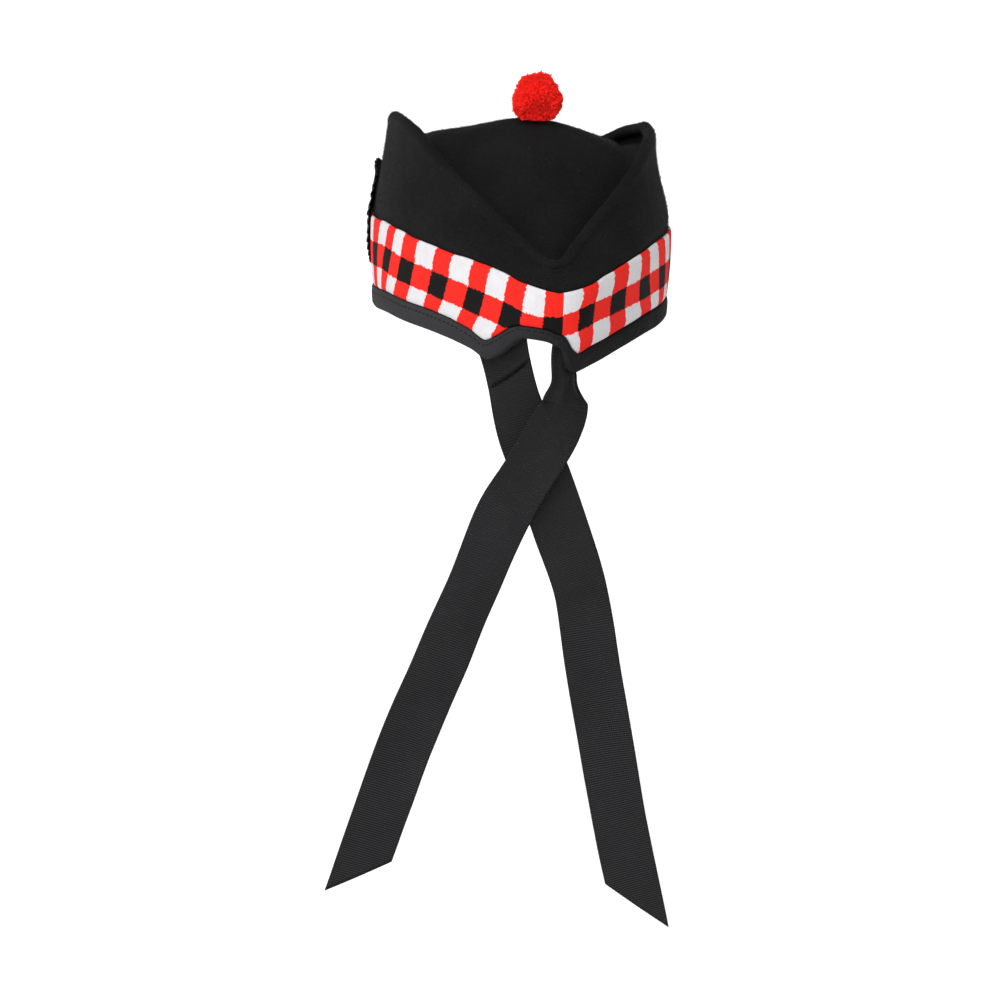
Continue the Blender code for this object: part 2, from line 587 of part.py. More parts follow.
def make_cockade():
    """A gathered oval of ribbon that lies on the wearer's left, with a covered button in its middle."""
    middle_place, middle_height = 1.22, COCKADE_UP
    dense = outer_wall(np.linspace(0, 1, 14)[:-1], np.linspace(0, 1, 30))
    half = np.abs(LOOP) <= 2
    left = (LOOP >= 0.8) & (LOOP <= 1.7) & half
    grid = dense[left]
    along = np.concatenate([[0], np.cumsum(np.linalg.norm(np.diff(grid[:, 15], axis=0), axis=1))])
    along -= np.interp(middle_place, LOOP[left], along)
    up = np.concatenate([np.zeros((len(grid), 1)),
                         np.cumsum(np.linalg.norm(np.diff(grid, axis=1), axis=2), axis=1)], 1)
    run_s, run_v = np.gradient(grid, axis=0), np.gradient(grid, axis=1)
    normal = np.cross(run_s, run_v)
    normal /= np.linalg.norm(normal, axis=2)[..., None]
    normal *= np.sign(normal[..., 0:1])

    def lay(a, h, out):
        place = np.interp(a, along, np.arange(len(grid)))
        i = np.clip(place.astype(int), 0, len(grid) - 2)
        f = (place - i)[:, None]
        found = []
        for k in range(len(a)):
            both = [[np.interp(h[k], up[j], data[j, :, c]) for c in range(3)]
                    for data in (grid, normal) for j in (i[k], i[k] + 1)]
            both = np.array(both)
            point = both[0] * (1 - f[k]) + both[1] * f[k]
            away = both[2] * (1 - f[k]) + both[3] * f[k]
            found.append(point + away / np.linalg.norm(away) * out[k])
        return np.array(found)

    turns = COCKADE_PLEATS * 2
    angle = np.arange(turns) * 2 * math.pi / turns
    pleat = np.where(np.arange(turns) % 2 == 0, 1.0, 0.0)
    base = BAND_THICKNESS + 4 * GAP
    shares = (1.0, 0.72, 0.42, 0.26, 0.24, 0.12)
    swell = np.array([0.0, 0.09, 0.18, 0.18, 0.64, 0.95]) * COCKADE_BUTTON
    front, back = [], []
    for share, extra in zip(shares, swell):
        ridged = share > 0.3
        radius = share * (1 - (0.035 * pleat if share == 1.0 else 0))
        a = np.cos(angle) * COCKADE_WIDTH / 2 * radius
        h = middle_height + np.sin(angle) * COCKADE_HEIGHT / 2 * radius
        lift = pleat * COCKADE_FOLD if ridged else 0 * pleat
        front.append(lay(a, h, base + COCKADE_THICKNESS + extra - lift))
        back.append(lay(a, h, base + 0 * a))
    loops = front + [np.repeat(lay(np.array([0.0]), np.array([middle_height]),
                                   np.array([base + COCKADE_THICKNESS + COCKADE_BUTTON])), 1, 0)]
    rears = [back[0], back[1], back[2], back[4]]
    back_middle = lay(np.array([0.0]), np.array([middle_height]), np.array([base]))
    points = np.concatenate(loops + rears + [back_middle])
    faces = []
    count = len(front)
    for level in range(count - 1):
        for k in range(turns):
            n = (k + 1) % turns
            outer, inner = level * turns, (level + 1) * turns
            faces.append((outer + k, outer + n, inner + n, inner + k))
    tip = count * turns
    for k in range(turns):
        faces.append(((count - 1) * turns + k, (count - 1) * turns + (k + 1) % turns, tip))
    rear, hub = tip + 1, tip + 1 + len(rears) * turns
    for k in range(turns):
        n = (k + 1) % turns
        faces.append((k, rear + k, rear + n, n))
        for level in range(len(rears) - 1):
            a, b = rear + level * turns, rear + (level + 1) * turns
            faces.append((a + k, b + k, b + n, a + n))
        faces.append((rear + (len(rears) - 1) * turns + k, hub, rear + (len(rears) - 1) * turns + n))
    return add_mesh("cockade", points, faces, COCKADE_BLACK)


for old in list(bpy.data.objects):
    bpy.data.objects.remove(old, do_unlink=True)
bpy.context.scene.unit_settings.system = "METRIC"

PARTS = collection("parts")
FELT_BLACK = material("felt_black", (0.012, 0.012, 0.013), 0.9)
CROWN_BLACK = material("crown_felt", (0.012, 0.012, 0.013), 0.9)
DICED_CLOTH = material("diced_cloth", (0.55, 0.06, 0.05), 0.85)
BINDING_BLACK = material("binding_black", (0.015, 0.015, 0.017), 0.6)
RIBBON_BLACK = material("ribbon_black", (0.018, 0.018, 0.020), 0.55)
YARN_RED = material("yarn_red", (0.62, 0.02, 0.015), 0.9)
COCKADE_BLACK = material("cockade_black", (0.010, 0.010, 0.011), 0.6)

make_side_panels()
crown, crown_grid = make_crown_panel()
make_diced_band()
make_edge_binding()
make_ribbon("ribbon_left", RIBBON_LEFT_ROWS, -1, LEFT_ROOT, LEFT_ROOT_WIDTH, LEFT_CUT)
make_ribbon("ribbon_right", RIBBON_RIGHT_ROWS, 1, RIGHT_ROOT, RIGHT_ROOT_WIDTH, RIGHT_CUT)
make_toorie(crown_grid)
make_cockade()
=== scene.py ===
import math

import bpy
import numpy as np
from mathutils import Matrix, Vector


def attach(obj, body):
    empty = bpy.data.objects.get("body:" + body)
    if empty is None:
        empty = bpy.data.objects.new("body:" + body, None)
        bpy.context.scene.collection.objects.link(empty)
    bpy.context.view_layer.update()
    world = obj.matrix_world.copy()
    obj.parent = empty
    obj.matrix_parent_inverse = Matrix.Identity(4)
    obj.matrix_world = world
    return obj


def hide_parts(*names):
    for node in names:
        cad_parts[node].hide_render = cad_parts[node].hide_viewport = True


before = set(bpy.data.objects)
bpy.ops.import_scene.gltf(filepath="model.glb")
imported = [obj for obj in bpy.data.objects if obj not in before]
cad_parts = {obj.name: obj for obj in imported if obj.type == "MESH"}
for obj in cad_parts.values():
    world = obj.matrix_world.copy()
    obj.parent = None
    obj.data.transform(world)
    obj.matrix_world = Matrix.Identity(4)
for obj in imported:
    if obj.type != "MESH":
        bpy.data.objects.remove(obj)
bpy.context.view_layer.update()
print("frame loaded:", len(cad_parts), "solids")

# Glengarry cap, metres. The front faces -Y, the wearer's left is +X, and the rim at the back is at z = 0.
cap = {
    "width": 0.1515,
    "backLength": 0.132,
    "frontLength": 0.102,
    "backCorner": 0.1223,
    "wallHeight": 0.049,
    "earHeight": 0.108,
    "rightDrop": 0.0035,     # how much lower the right ear is, at which place, and how far round it
    "rightDropAt": 0.92,
    "rightDropWidth": 0.25,
    "crestHeight": 0.1135,
    "felt": 0.0020,
    "roll": 0.0032,
    "gap": 0.0003,
    "stationsHalf": 250,
    "crowding": 1.15,        # stations lie closer together towards the back corner
    "swell": (0.26, 0.34),   # how far the side goes on upwards from its lower wall, and comes up to its roll
}

# which way a quarter of the rim runs: straight across at a corner, straight along at the widest place
rimHeading = (
    ("share", "degrees"),
    (0, 0), (0.04, 20), (0.09, 41), (0.25, 51), (0.44, 55), (0.62, 62), (0.81, 77), (0.95, 87), (1, 90),
)
# place runs from 0 at the back corner through 1 at the widest to 2 at the front corner
rimRows = (
    ("place", "rise", "flare", "top", "lean"),
    (0.00, 0.000, 10.0, 0.930, 0.0),
    (0.07, 0.040, 10.0, 0.960, 0.0),
    (0.15, 0.085, 9.0, 0.990, 0.0),
    (0.35, 0.165, 7.5, 1.000, 0.3),
    (0.55, 0.205, 4.5, 1.000, 0.9),
    (0.75, 0.205, 2.6, 1.000, 1.6),
    (1.00, 0.130, 1.3, 1.000, 2.0),
    (1.30, 0.085, 1.6, 1.000, 2.0),
    (1.65, 0.060, 4.0, 1.000, 1.0),
    (2.00, 0.050, 5.0, 1.000, 0.0),
)
edgeRows = (
    ("place", "across", "along", "up"),
    (0.00, 0.000, 0.850, 0.495),
    (0.06, 0.060, 0.828, 0.500),
    (0.15, 0.138, 0.750, 0.535),
    (0.30, 0.310, 0.600, 0.632),
    (0.45, 0.520, 0.470, 0.762),
    (0.60, 0.695, 0.335, 0.880),
    (0.75, 0.800, 0.185, 0.968),
    (0.90, 0.860, 0.030, 0.990),
    (1.05, 0.885, -0.120, 0.985),
    (1.20, 0.875, -0.275, 0.940),
    (1.35, 0.800, -0.420, 0.885),
    (1.50, 0.640, -0.545, 0.805),
    (1.65, 0.475, -0.645, 0.785),
    (1.80, 0.290, -0.725, 0.780),
    (1.92, 0.115, -0.775, 0.780),
    (2.00, 0.000, -0.785, 0.780),
)
# the arch at the back: place in metres along the rim, lower edge, width of the tape there
archRows = (
    ("place", "lift", "width"),
    (-0.0400, 0.00, 1.00),
    (-0.0205, 0.00, 1.00),
    (-0.0123, 0.00, 0.92),
    (-0.0080, 0.24, 0.82),
    (-0.0035, 0.78, 0.62),
    (0.0000, 0.93, 0.58),
    (0.0040, 1.00, 0.58),
    (0.0140, 0.92, 0.58),
    (0.0220, 0.55, 0.84),
    (0.0320, 0.07, 0.93),
    (0.0400, -0.15, 0.90),
    (0.0500, -0.04, 0.93),
    (0.0640, 0.00, 1.00),
)
tape = {
    "height": 0.011,
    "flap": 0.0080,
    "flapThick": 0.0016,
    "proud": 0.0025,
    "sole": 0.0019,
    "archHeight": 0.0186,
    "stitchRow": 0.0041,     # from its inner edge round its outside
    "bulge": 0.0003,
    "bump": 0.00012,
}
up = np.array([0.0, 0.0, 1.0])
leftWay = np.array([1.0, 0.0, 0.0])


def column(table, name):
    return np.array([row[table[0].index(name)] for row in table[1:]], float)


# smooth curve through a table's column, over its first one: cubic pieces with limited slopes, which never
# overshoot
def follow(table, name, at):
    x, y = column(table, table[0][0]), column(table, name)
    if x[0] > x[-1]:
        x, y = x[::-1], y[::-1]
    h, d = np.diff(x), np.diff(y) / np.diff(x)
    slope = np.zeros_like(x)
    same = d[:-1] * d[1:] > 0
    w1, w2 = 2 * h[1:] + h[:-1], h[1:] + 2 * h[:-1]
    with np.errstate(divide="ignore", invalid="ignore"):
        mean = (w1 + w2) / (w1 / d[:-1] + w2 / d[1:])
    slope[1:-1] = np.where(same, mean, 0)
    slope[0], slope[-1] = d[0], d[-1]
    at = np.clip(np.asarray(at, float), x[0], x[-1])
    i = np.clip(np.searchsorted(x, at) - 1, 0, len(h) - 1)
    u = (at - x[i]) / h[i]
    return ((1 + 2 * u) * (1 - u) ** 2 * y[i] + u * (1 - u) ** 2 * h[i] * slope[i]
            + u * u * (3 - 2 * u) * y[i + 1] + u * u * (u - 1) * h[i] * slope[i + 1])


# 0 below a, 1 above b, with an easy bend at both ends
def ease(a, b, x):
    t = np.clip((np.asarray(x, float) - a) / (b - a), 0, 1)
    return t * t * (3 - 2 * t)


# sum of sines in random directions, about -1 to 1, whose waves are about this long
def uneven(seed, u, v, size, count=9):
    rng = np.random.default_rng(seed)
    total = 0
    for turn, phase, scale in zip(rng.uniform(0, 6.28, count), rng.uniform(0, 6.28, count),
                                  rng.uniform(0.7, 1.6, count)):
        wave = 2 * math.pi / (size * scale)
        total = total + np.sin((u * math.cos(turn) + v * math.sin(turn)) * wave + phase)
    return total / math.sqrt(count) / 1.3


# the same vectors with a length of 1
def unit(vectors):
    return vectors / np.linalg.norm(vectors, axis=-1, keepdims=True)


# distance run so far at each point of a line, or of every line of a grid
def runLength(points):
    steps = np.linalg.norm(np.diff(points, axis=-2), axis=-1)
    return np.concatenate([0 * steps[..., :1], np.cumsum(steps, -1)], -1)


# points at some distances along a line whose own points lie at the distances run
def slide(at, run, line):
    return np.stack([np.interp(at, run, line[:, k]) for k in range(3)], -1)


# cubic curve from a to d, which starts towards b and arrives from c
def curve(t, a, b, c, d):
    return (1 - t) ** 3 * a + 3 * t * (1 - t) ** 2 * b + 3 * t * t * (1 - t) * c + t ** 3 * d


def evenTurns(count):
    return np.linspace(0, 2 * math.pi, count + 1)[:-1]


# points at these turns of a circle that lies in two directions
def circle(one, two, turn):
    return one[..., None, :] * np.cos(turn)[:, None] + two[..., None, :] * np.sin(turn)[:, None]


# quarter of the rim with unit half width and unit length, from the table of headings
def quarterPlan():
    share = np.linspace(0, 1, 401)
    angle = np.radians(np.interp(share, column(rimHeading, "share"), column(rimHeading, "degrees")))
    mid = (angle[1:] + angle[:-1]) / 2
    across = np.concatenate([[0], np.cumsum(np.cos(mid))])
    along = np.concatenate([[0], np.cumsum(np.sin(mid))])
    return share, across / across[-1], along / along[-1]


planShare, planAcross, planAlong = quarterPlan()
widestPlace = cap["backCorner"] - cap["backLength"]
quarterArc = float(np.sum(np.hypot(np.diff(planAcross) * cap["width"] / 2,
                                   np.diff(planAlong) * cap["backLength"])))


# lower edge at place 0 to 2 on the wearer's left, negative places on the right
def rimLine(place):
    p = np.abs(place)
    q = np.where(p <= 1, p, 2 - p)
    x = np.interp(q, planShare, planAcross) * cap["width"] / 2 * np.where(place < 0, -1, 1)
    back = cap["backCorner"] - np.interp(q, planShare, planAlong) * cap["backLength"]
    front = widestPlace - cap["frontLength"] + np.interp(q, planShare, planAlong) * cap["frontLength"]
    z = follow(rimRows, "rise", p) * cap["wallHeight"]
    return np.stack([x, np.where(p <= 1, back, front), z], -1)


def leanAngle(place):
    return np.radians(follow(rimRows, "lean", np.abs(place)))


# middle of the rolled top edge
def edgeLine(place):
    p = np.abs(place)
    x = follow(edgeRows, "across", p) * cap["width"] / 2 * np.where(place < 0, -1, 1)
    x = x + cap["wallHeight"] * np.sin(leanAngle(p))
    drop = np.where(place < 0, np.exp(-((p - cap["rightDropAt"]) / cap["rightDropWidth"]) ** 2), 0)
    return np.stack([x, follow(edgeRows, "along", p) * cap["backLength"],
                     follow(edgeRows, "up", p) * cap["earHeight"] - drop * cap["rightDrop"]], -1)


# level unit normals of a closed loop of points, facing away from its middle
def outward(points):
    run = np.roll(points, -1, 0) - np.roll(points, 1, 0)
    normal = unit(np.stack([run[:, 1], -run[:, 0], np.zeros(len(run))], -1))
    return normal * np.sign(((points - points.mean(0)) * normal).sum(1).mean())


# everything that is needed at each of a closed loop of places round the cap
def goRound(place):
    rim, edge = rimLine(place), edgeLine(place)
    out = outward(rim)
    flare = np.radians(follow(rimRows, "flare", np.abs(place)))[:, None]
    rise = out * np.sin(flare) + up * np.cos(flare) + leftWay * np.sin(leanAngle(place))[:, None]
    arc = place * quarterArc
    near = np.abs(place) < 1
    low = np.where(near, follow(archRows, "lift", arc), 0) * tape["archHeight"]
    wide = np.where(near, follow(archRows, "width", arc), 1)
    return {
        "place": place, "rim": rim, "edge": edge, "out": out, "edgeOut": outward(edge), "rise": rise,
        "arc": arc, "low": low, "tapeTop": low + wide * tape["height"],
        "wallTop": follow(rimRows, "top", np.abs(place)) * cap["wallHeight"],
    }


# points at a height up the lower wall and a distance out from the felt's outer face
def onWall(loop, height, out):
    n = len(loop["place"])
    height, out = np.broadcast_to(height, n), np.broadcast_to(out, n)
    return loop["rim"] + loop["rise"] * height[:, None] + loop["out"] * out[:, None]


# upright gap that leaves the small gap square to a line of this height along the rim
def clearance(loop, height):
    steep = (np.roll(height, -1) - np.roll(height, 1)) / (np.roll(loop["arc"], -1) - np.roll(loop["arc"], 1))
    return 1.15 * cap["gap"] * np.hypot(1, np.clip(steep, -4, 4))


halfPlaces = 2 * np.linspace(0, 1, cap["stationsHalf"] + 1) ** cap["crowding"]
allPlaces = np.concatenate([halfPlaces, -halfPlaces[1:-1][::-1]])
body = goRound(allPlaces)


# quads of a grid of n by m points, and the same quads on its grid of marks, with one more line at a wrap
def quads(n, m, wrapN=False, wrapM=False):
    i, j = np.meshgrid(np.arange(n if wrapN else n - 1), np.arange(m if wrapM else m - 1), indexing="ij")
    i, j = i.ravel(), j.ravel()
    corners = ((i, j), (i + 1, j), (i + 1, j + 1), (i, j + 1))
    faces = np.stack([(a % n) * m + b % m for a, b in corners], -1)
    marks = np.stack([a * (m + int(wrapM)) + b for a, b in corners], -1)
    return faces, marks


def addObject(name, data):
    made = bpy.data.objects.new(name, data)
    bpy.context.scene.collection.objects.link(made)
    return made


# each layer holds a pair of numbers for every mark ("measure": metres along and across), and marks say which
# of them each corner of each face takes
def makePiece(name, points, faces, look, node=None, layers=None, marks=None, shade=None):
    points = np.asarray(points, np.float32).reshape(-1, 3)
    groups = faces if isinstance(faces, list) else [faces]
    sizes = np.concatenate([np.full(len(g), g.shape[1]) for g in groups]).astype(np.int32)
    corners = np.concatenate([g.ravel() for g in groups]).astype(np.int32)
    mesh = bpy.data.meshes.new(name)
    mesh.vertices.add(len(points))
    mesh.vertices.foreach_set("co", points.ravel())
    mesh.loops.add(len(corners))
    mesh.loops.foreach_set("vertex_index", corners)
    mesh.polygons.add(len(sizes))
    mesh.polygons.foreach_set("loop_start", (np.cumsum(sizes) - sizes).astype(np.int32))
    mesh.polygons.foreach_set("loop_total", sizes)
    mesh.update(calc_edges=True)
    for key, values in (layers or {}).items():
        layer = mesh.uv_layers.new(name=key)
        taken = values.reshape(-1, 2)[np.concatenate([m.ravel() for m in marks])]
        layer.data.foreach_set("uv", taken.astype(np.float32).ravel())
    if shade is not None:
        layer = mesh.attributes.new("shade", "FLOAT", "POINT")
        layer.data.foreach_set("value", np.asarray(shade, np.float32))
    mesh.polygons.foreach_set("use_smooth", np.ones(len(sizes), bool))
    mesh.validate()
    mesh.materials.append(look.material)
    piece = addObject(name, mesh)
    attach(piece, "root")
    if node:
        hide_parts(node)
    print("made", name, len(points), "points")
    return piece


# gives a single layer of cloth its thickness, half of it to each side
def thicken(piece, thickness):
    solidify = piece.modifiers.new("thickness", "SOLIDIFY")
    solidify.thickness, solidify.offset = thickness, 0


# a socket that plain expressions can use
class Wire:
    def __init__(self, look, socket):
        self.look, self.socket = look, socket

    def calc(self, operation, *values):
        return self.look.node("Math", {"operation": operation}, dict(enumerate(values)))

    def __add__(self, other):
        return self.calc("ADD", self, other)

    def __sub__(self, other):
        return self.calc("SUBTRACT", self, other)

    def __rsub__(self, other):
        return self.calc("SUBTRACT", other, self)

    def __mul__(self, other):
        return self.calc("MULTIPLY", self, other)

    def __truediv__(self, other):
        return self.calc("DIVIDE", self, other)

    def __gt__(self, other):
        return self.calc("GREATER_THAN", self, other)

    def __lt__(self, other):
        return self.calc("LESS_THAN", self, other)

    __radd__ = __add__

    # a random value from 0 to 1 for each step of this length
    def threads(self, length):
        step = self.calc("FLOOR", self / length)
        return self.look.node("TexWhiteNoise", {"noise_dimensions": "1D"}, {"W": step})

    def fraction(self):
        return self.calc("FRACT", self)

    def wave(self, length):
        return self.calc("SINE", self * (2 * math.pi / length)) * 0.5 + 0.5

    def size(self):
        return self.calc("ABSOLUTE", self)

    def between(self, low, high):
        return self.look.node("MapRange", {"interpolation_type": "SMOOTHSTEP"},
                              {0: self, 1: low, 2: high, 3: 0.0, 4: 1.0})


class Look:
    def __init__(self, name, **fixed):
        self.material = bpy.data.materials.new(name)
        self.material.use_nodes = True
        self.tree = self.material.node_tree
        self.shader = self.tree.nodes["Principled BSDF"]
        for socket, value in fixed.items():
            self.feed(socket, value)

    def plug(self, socket, value):
        if isinstance(value, Wire):
            self.tree.links.new(value.socket, socket)
        elif isinstance(value, tuple) and len(value) == 3 and socket.type == "RGBA":
            socket.default_value = (*value, 1)
        else:
            socket.default_value = value

    def feed(self, socket, value):
        self.plug(self.shader.inputs[socket.replace("_", " ")], value)

    def node(self, kind, settings=None, sockets=None, out=0):
        made = self.tree.nodes.new("ShaderNode" + kind)
        for key, value in (settings or {}).items():
            setattr(made, key, value)
        for key, value in (sockets or {}).items():
            self.plug(made.inputs[key], value)
        return Wire(self, made.outputs[out])

    def mix(self, amount, a, b):
        return self.node("Mix", {"data_type": "RGBA"}, {0: amount, 6: a, 7: b}, out=2)

    def noise(self, at, scale, detail=3.0, rough=0.55):
        sockets = {"Vector": at, "Scale": scale, "Detail": detail, "Roughness": rough}
        return self.node("TexNoise", None, sockets)

    def place(self):
        return self.node("TexCoord", out="Object")

    def split(self, vector):
        node = self.node("SeparateXYZ", None, {0: vector}).socket.node
        return [Wire(self, socket) for socket in node.outputs]

    def measures(self, layer="measure"):
        return self.split(self.node("UVMap", {"uv_map": layer}))[:2]

    # colour, roughness, and a relief of this height over this distance
    def finish(self, colour, rough, height, distance):
        self.feed("Base Color", colour)
        self.feed("Roughness", rough)
        self.feed("Normal", self.node("Bump", None, {"Distance": distance, "Height": height}))
        return self

    # the value that a piece holds at its points
    def shade(self):
        return self.node("Attribute", {"attribute_name": "shade"}, out="Fac")


# felted wool: dark to pale by clumps of nap, fine fibre and cloud, darker where a piece holds painted shade
# as "shade", with some pale lint
def feltLook(name, sheen, dark, pale):
    look = Look(name, Sheen_Weight=sheen, Sheen_Roughness=0.5, Sheen_Tint=(0.7, 0.7, 0.75), IOR=1.4,
                Specular_IOR_Level=0.08)
    at = look.place()
    nap = look.noise(at, 650.0, 4.0, 0.65)
    fibre = look.noise(at, 2400.0, 3.0, 0.7)
    cloud = look.noise(at, 38.0, 2.0)
    lint = look.noise(at, 900.0, 1.0).between(0.77, 0.80)
    tone = nap * 0.5 + fibre * 0.3 + cloud * 0.35
    colour = look.mix(tone.between(0.3, 0.9), dark, pale)
    colour = look.mix(look.shade() * 0.6, colour, tuple(0.45 * c for c in dark))
    colour = look.mix(lint * 0.4, colour, (0.06, 0.06, 0.065))
    return look.finish(colour, 0.84 + nap * 0.14, nap * 0.65 + fibre * 0.35, 0.0007)


felt = feltLook("black wool felt", 0.015, (0.0033, 0.0033, 0.0035), (0.0095, 0.0096, 0.0103))
# the crown's copy of the felt is a little darker, painted shade on the top, with a little more sheen
crownFelt = feltLook("crown wool felt", 0.018, (0.0032, 0.0032, 0.0034), (0.0092, 0.0093, 0.0100))


# outer face of the side felt: up the straight wall, then in a curve to the rolled edge
def outerWall(loop, lows, highs):
    start = loop["low"] + tape["sole"] + clearance(loop, loop["low"])
    low = [onWall(loop, start + (loop["wallTop"] - start) * v, 0.0) for v in lows]
    top = onWall(loop, loop["wallTop"], 0.0)
    end = loop["edge"] + loop["edgeOut"] * cap["roll"]
    reach = np.maximum(end[:, 2] - top[:, 2], 0.004)[:, None]
    leave, arrive = cap["swell"]
    guides = top + loop["rise"] * reach * leave, end - up * reach * arrive
    high = [curve(w, top, *guides, end) for w in highs]
    return np.stack(low + high, 1)


# unit normals of a grid that is closed along its first side, facing away from the cap
def gridNormals(grid, out):
    normal = unit(np.cross(np.roll(grid, -1, 0) - np.roll(grid, 1, 0), np.gradient(grid, axis=1)))
    return normal * np.sign((normal * out[:, None]).sum())


lowLevels, highLevels = np.linspace(0, 1, 15)[:-1], np.linspace(0, 1, 40)
wallGrid = outerWall(body, lowLevels, highLevels)
wallNormal = gridNormals(wallGrid, body["out"])
innerGrid = (wallGrid - wallNormal * cap["felt"])[:, ::-1]
innerRun = runLength(innerGrid)


# points on the inner face, each this far below the rolled edge's widest line
def downInside(lengths):
    return np.array([slide(*three) for three in zip(lengths, innerRun, innerGrid)])


sides = {
    "hollow": 0.0006,
    "fine": 0.00012,
    "seamDepth": 0.0005,
    "seamWidth": 0.0010,
    "pucker": 0.00032,
    "puckerReach": 0.005,
    "puckerLength": 0.0058,
    "rollRows": 22,
    "rollTurn": 275,         # degrees
    "rollUneven": 0.035,
    "innerRows": 30,
    "shade": 0.8,
}


# the outer face with its soft hollows and puckered back seam, the roll and the inner face, as one wall
def makeSides():
    count = len(lowLevels)
    height = runLength(wallGrid).mean(0)
    arc = body["arc"][:, None]
    free = np.concatenate([np.zeros(count), ease(0.02, 0.16, highLevels)])
    nearEdge = np.concatenate([np.ones(count), 1 - 0.8 * ease(0.8, 1.0, highLevels)])
    shift = sides["hollow"] * uneven(3, arc, height, 0.055) + sides["fine"] * uneven(5, arc, height, 0.009)
    seam = -sides["seamDepth"] * np.exp(-(arc / sides["seamWidth"]) ** 2)
    folds = np.sin(2 * math.pi * height / sides["puckerLength"] + arc / 0.004)
    folds = folds + uneven(9, arc, height, 0.010)
    tuck = sides["pucker"] * np.exp(-np.abs(arc) / sides["puckerReach"]) * folds
    outer = wallGrid + wallNormal * ((shift * nearEdge + seam + tuck) * free)[..., None]
    turn = np.radians(np.linspace(0, sides["rollTurn"], sides["rollRows"])[1:])
    roll = cap["roll"] * (1 + sides["rollUneven"] * uneven(8, arc, turn * 0.004, 0.012))
    rolled = body["edge"][:, None] + roll[..., None] * circle(body["edgeOut"], up, turn)
    hidden = 1.05 * cap["roll"]
    inner = downInside(hidden + (innerRun[:, -1:] - hidden) * np.linspace(0, 1, sides["innerRows"]))
    grid = np.concatenate([outer, rolled, inner], 1)
    faces, _ = quads(*grid.shape[:2], True, True)
    # painted shade: the right side grows darker low down towards the band
    shade = sides["shade"] * ease(-0.015, -0.045, grid[..., 0]) * ease(0.085, 0.050, grid[..., 2])
    makePiece("sidePanels", grid, faces[:, ::-1], felt, "side_panels", shade=shade.ravel())
    return grid[:, 4:outer.shape[1] + 14]    # where loose fibres may stand


crownSizes = {
    "felt": 0.0022,
    "valleyDepth": 0.0037,
    "sewnDrop": 0.0026,
    "valleyWidth": 0.011,
    "creaseDepth": 0.0008,
    "creaseWidth": 0.0045,
    "start": 0.0044,
    "seamDepth": 0.0002,
    "seamWidth": 0.0008,
    "cloud": 0.0003,
    "rows": 44,
    "shadeWidth": 0.013,
}
# how far below the roll the crown is sewn, how deep it sags beside it, and how wide that sag is
crownEdgeRows = (
    ("place", "drop", "sag", "width"),
    (0.00, 0.60, 0.60, 0.90),
    (0.30, 0.35, 0.90, 1.00),
    (0.55, 0.60, 1.10, 1.10),
    (0.80, 1.45, 1.30, 1.35),
    (1.00, 1.70, 1.20, 1.50),
    (1.20, 1.40, 0.90, 1.40),
    (1.45, 0.80, 0.80, 1.10),
    (1.75, 0.20, 0.60, 0.90),
    (2.00, 0.35, 0.50, 0.80),
)
crownRows = (
    ("along", "up"),
    (0.85, 0.426), (0.75, 0.503), (0.6, 0.65), (0.465, 0.78), (0.335, 0.905), (0.24, 0.98), (0.16, 1.0),
    (0.03, 0.975), (-0.12, 0.92), (-0.275, 0.86), (-0.42, 0.805), (-0.545, 0.765), (-0.645, 0.74),
    (-0.725, 0.715), (-0.785, 0.699),
)


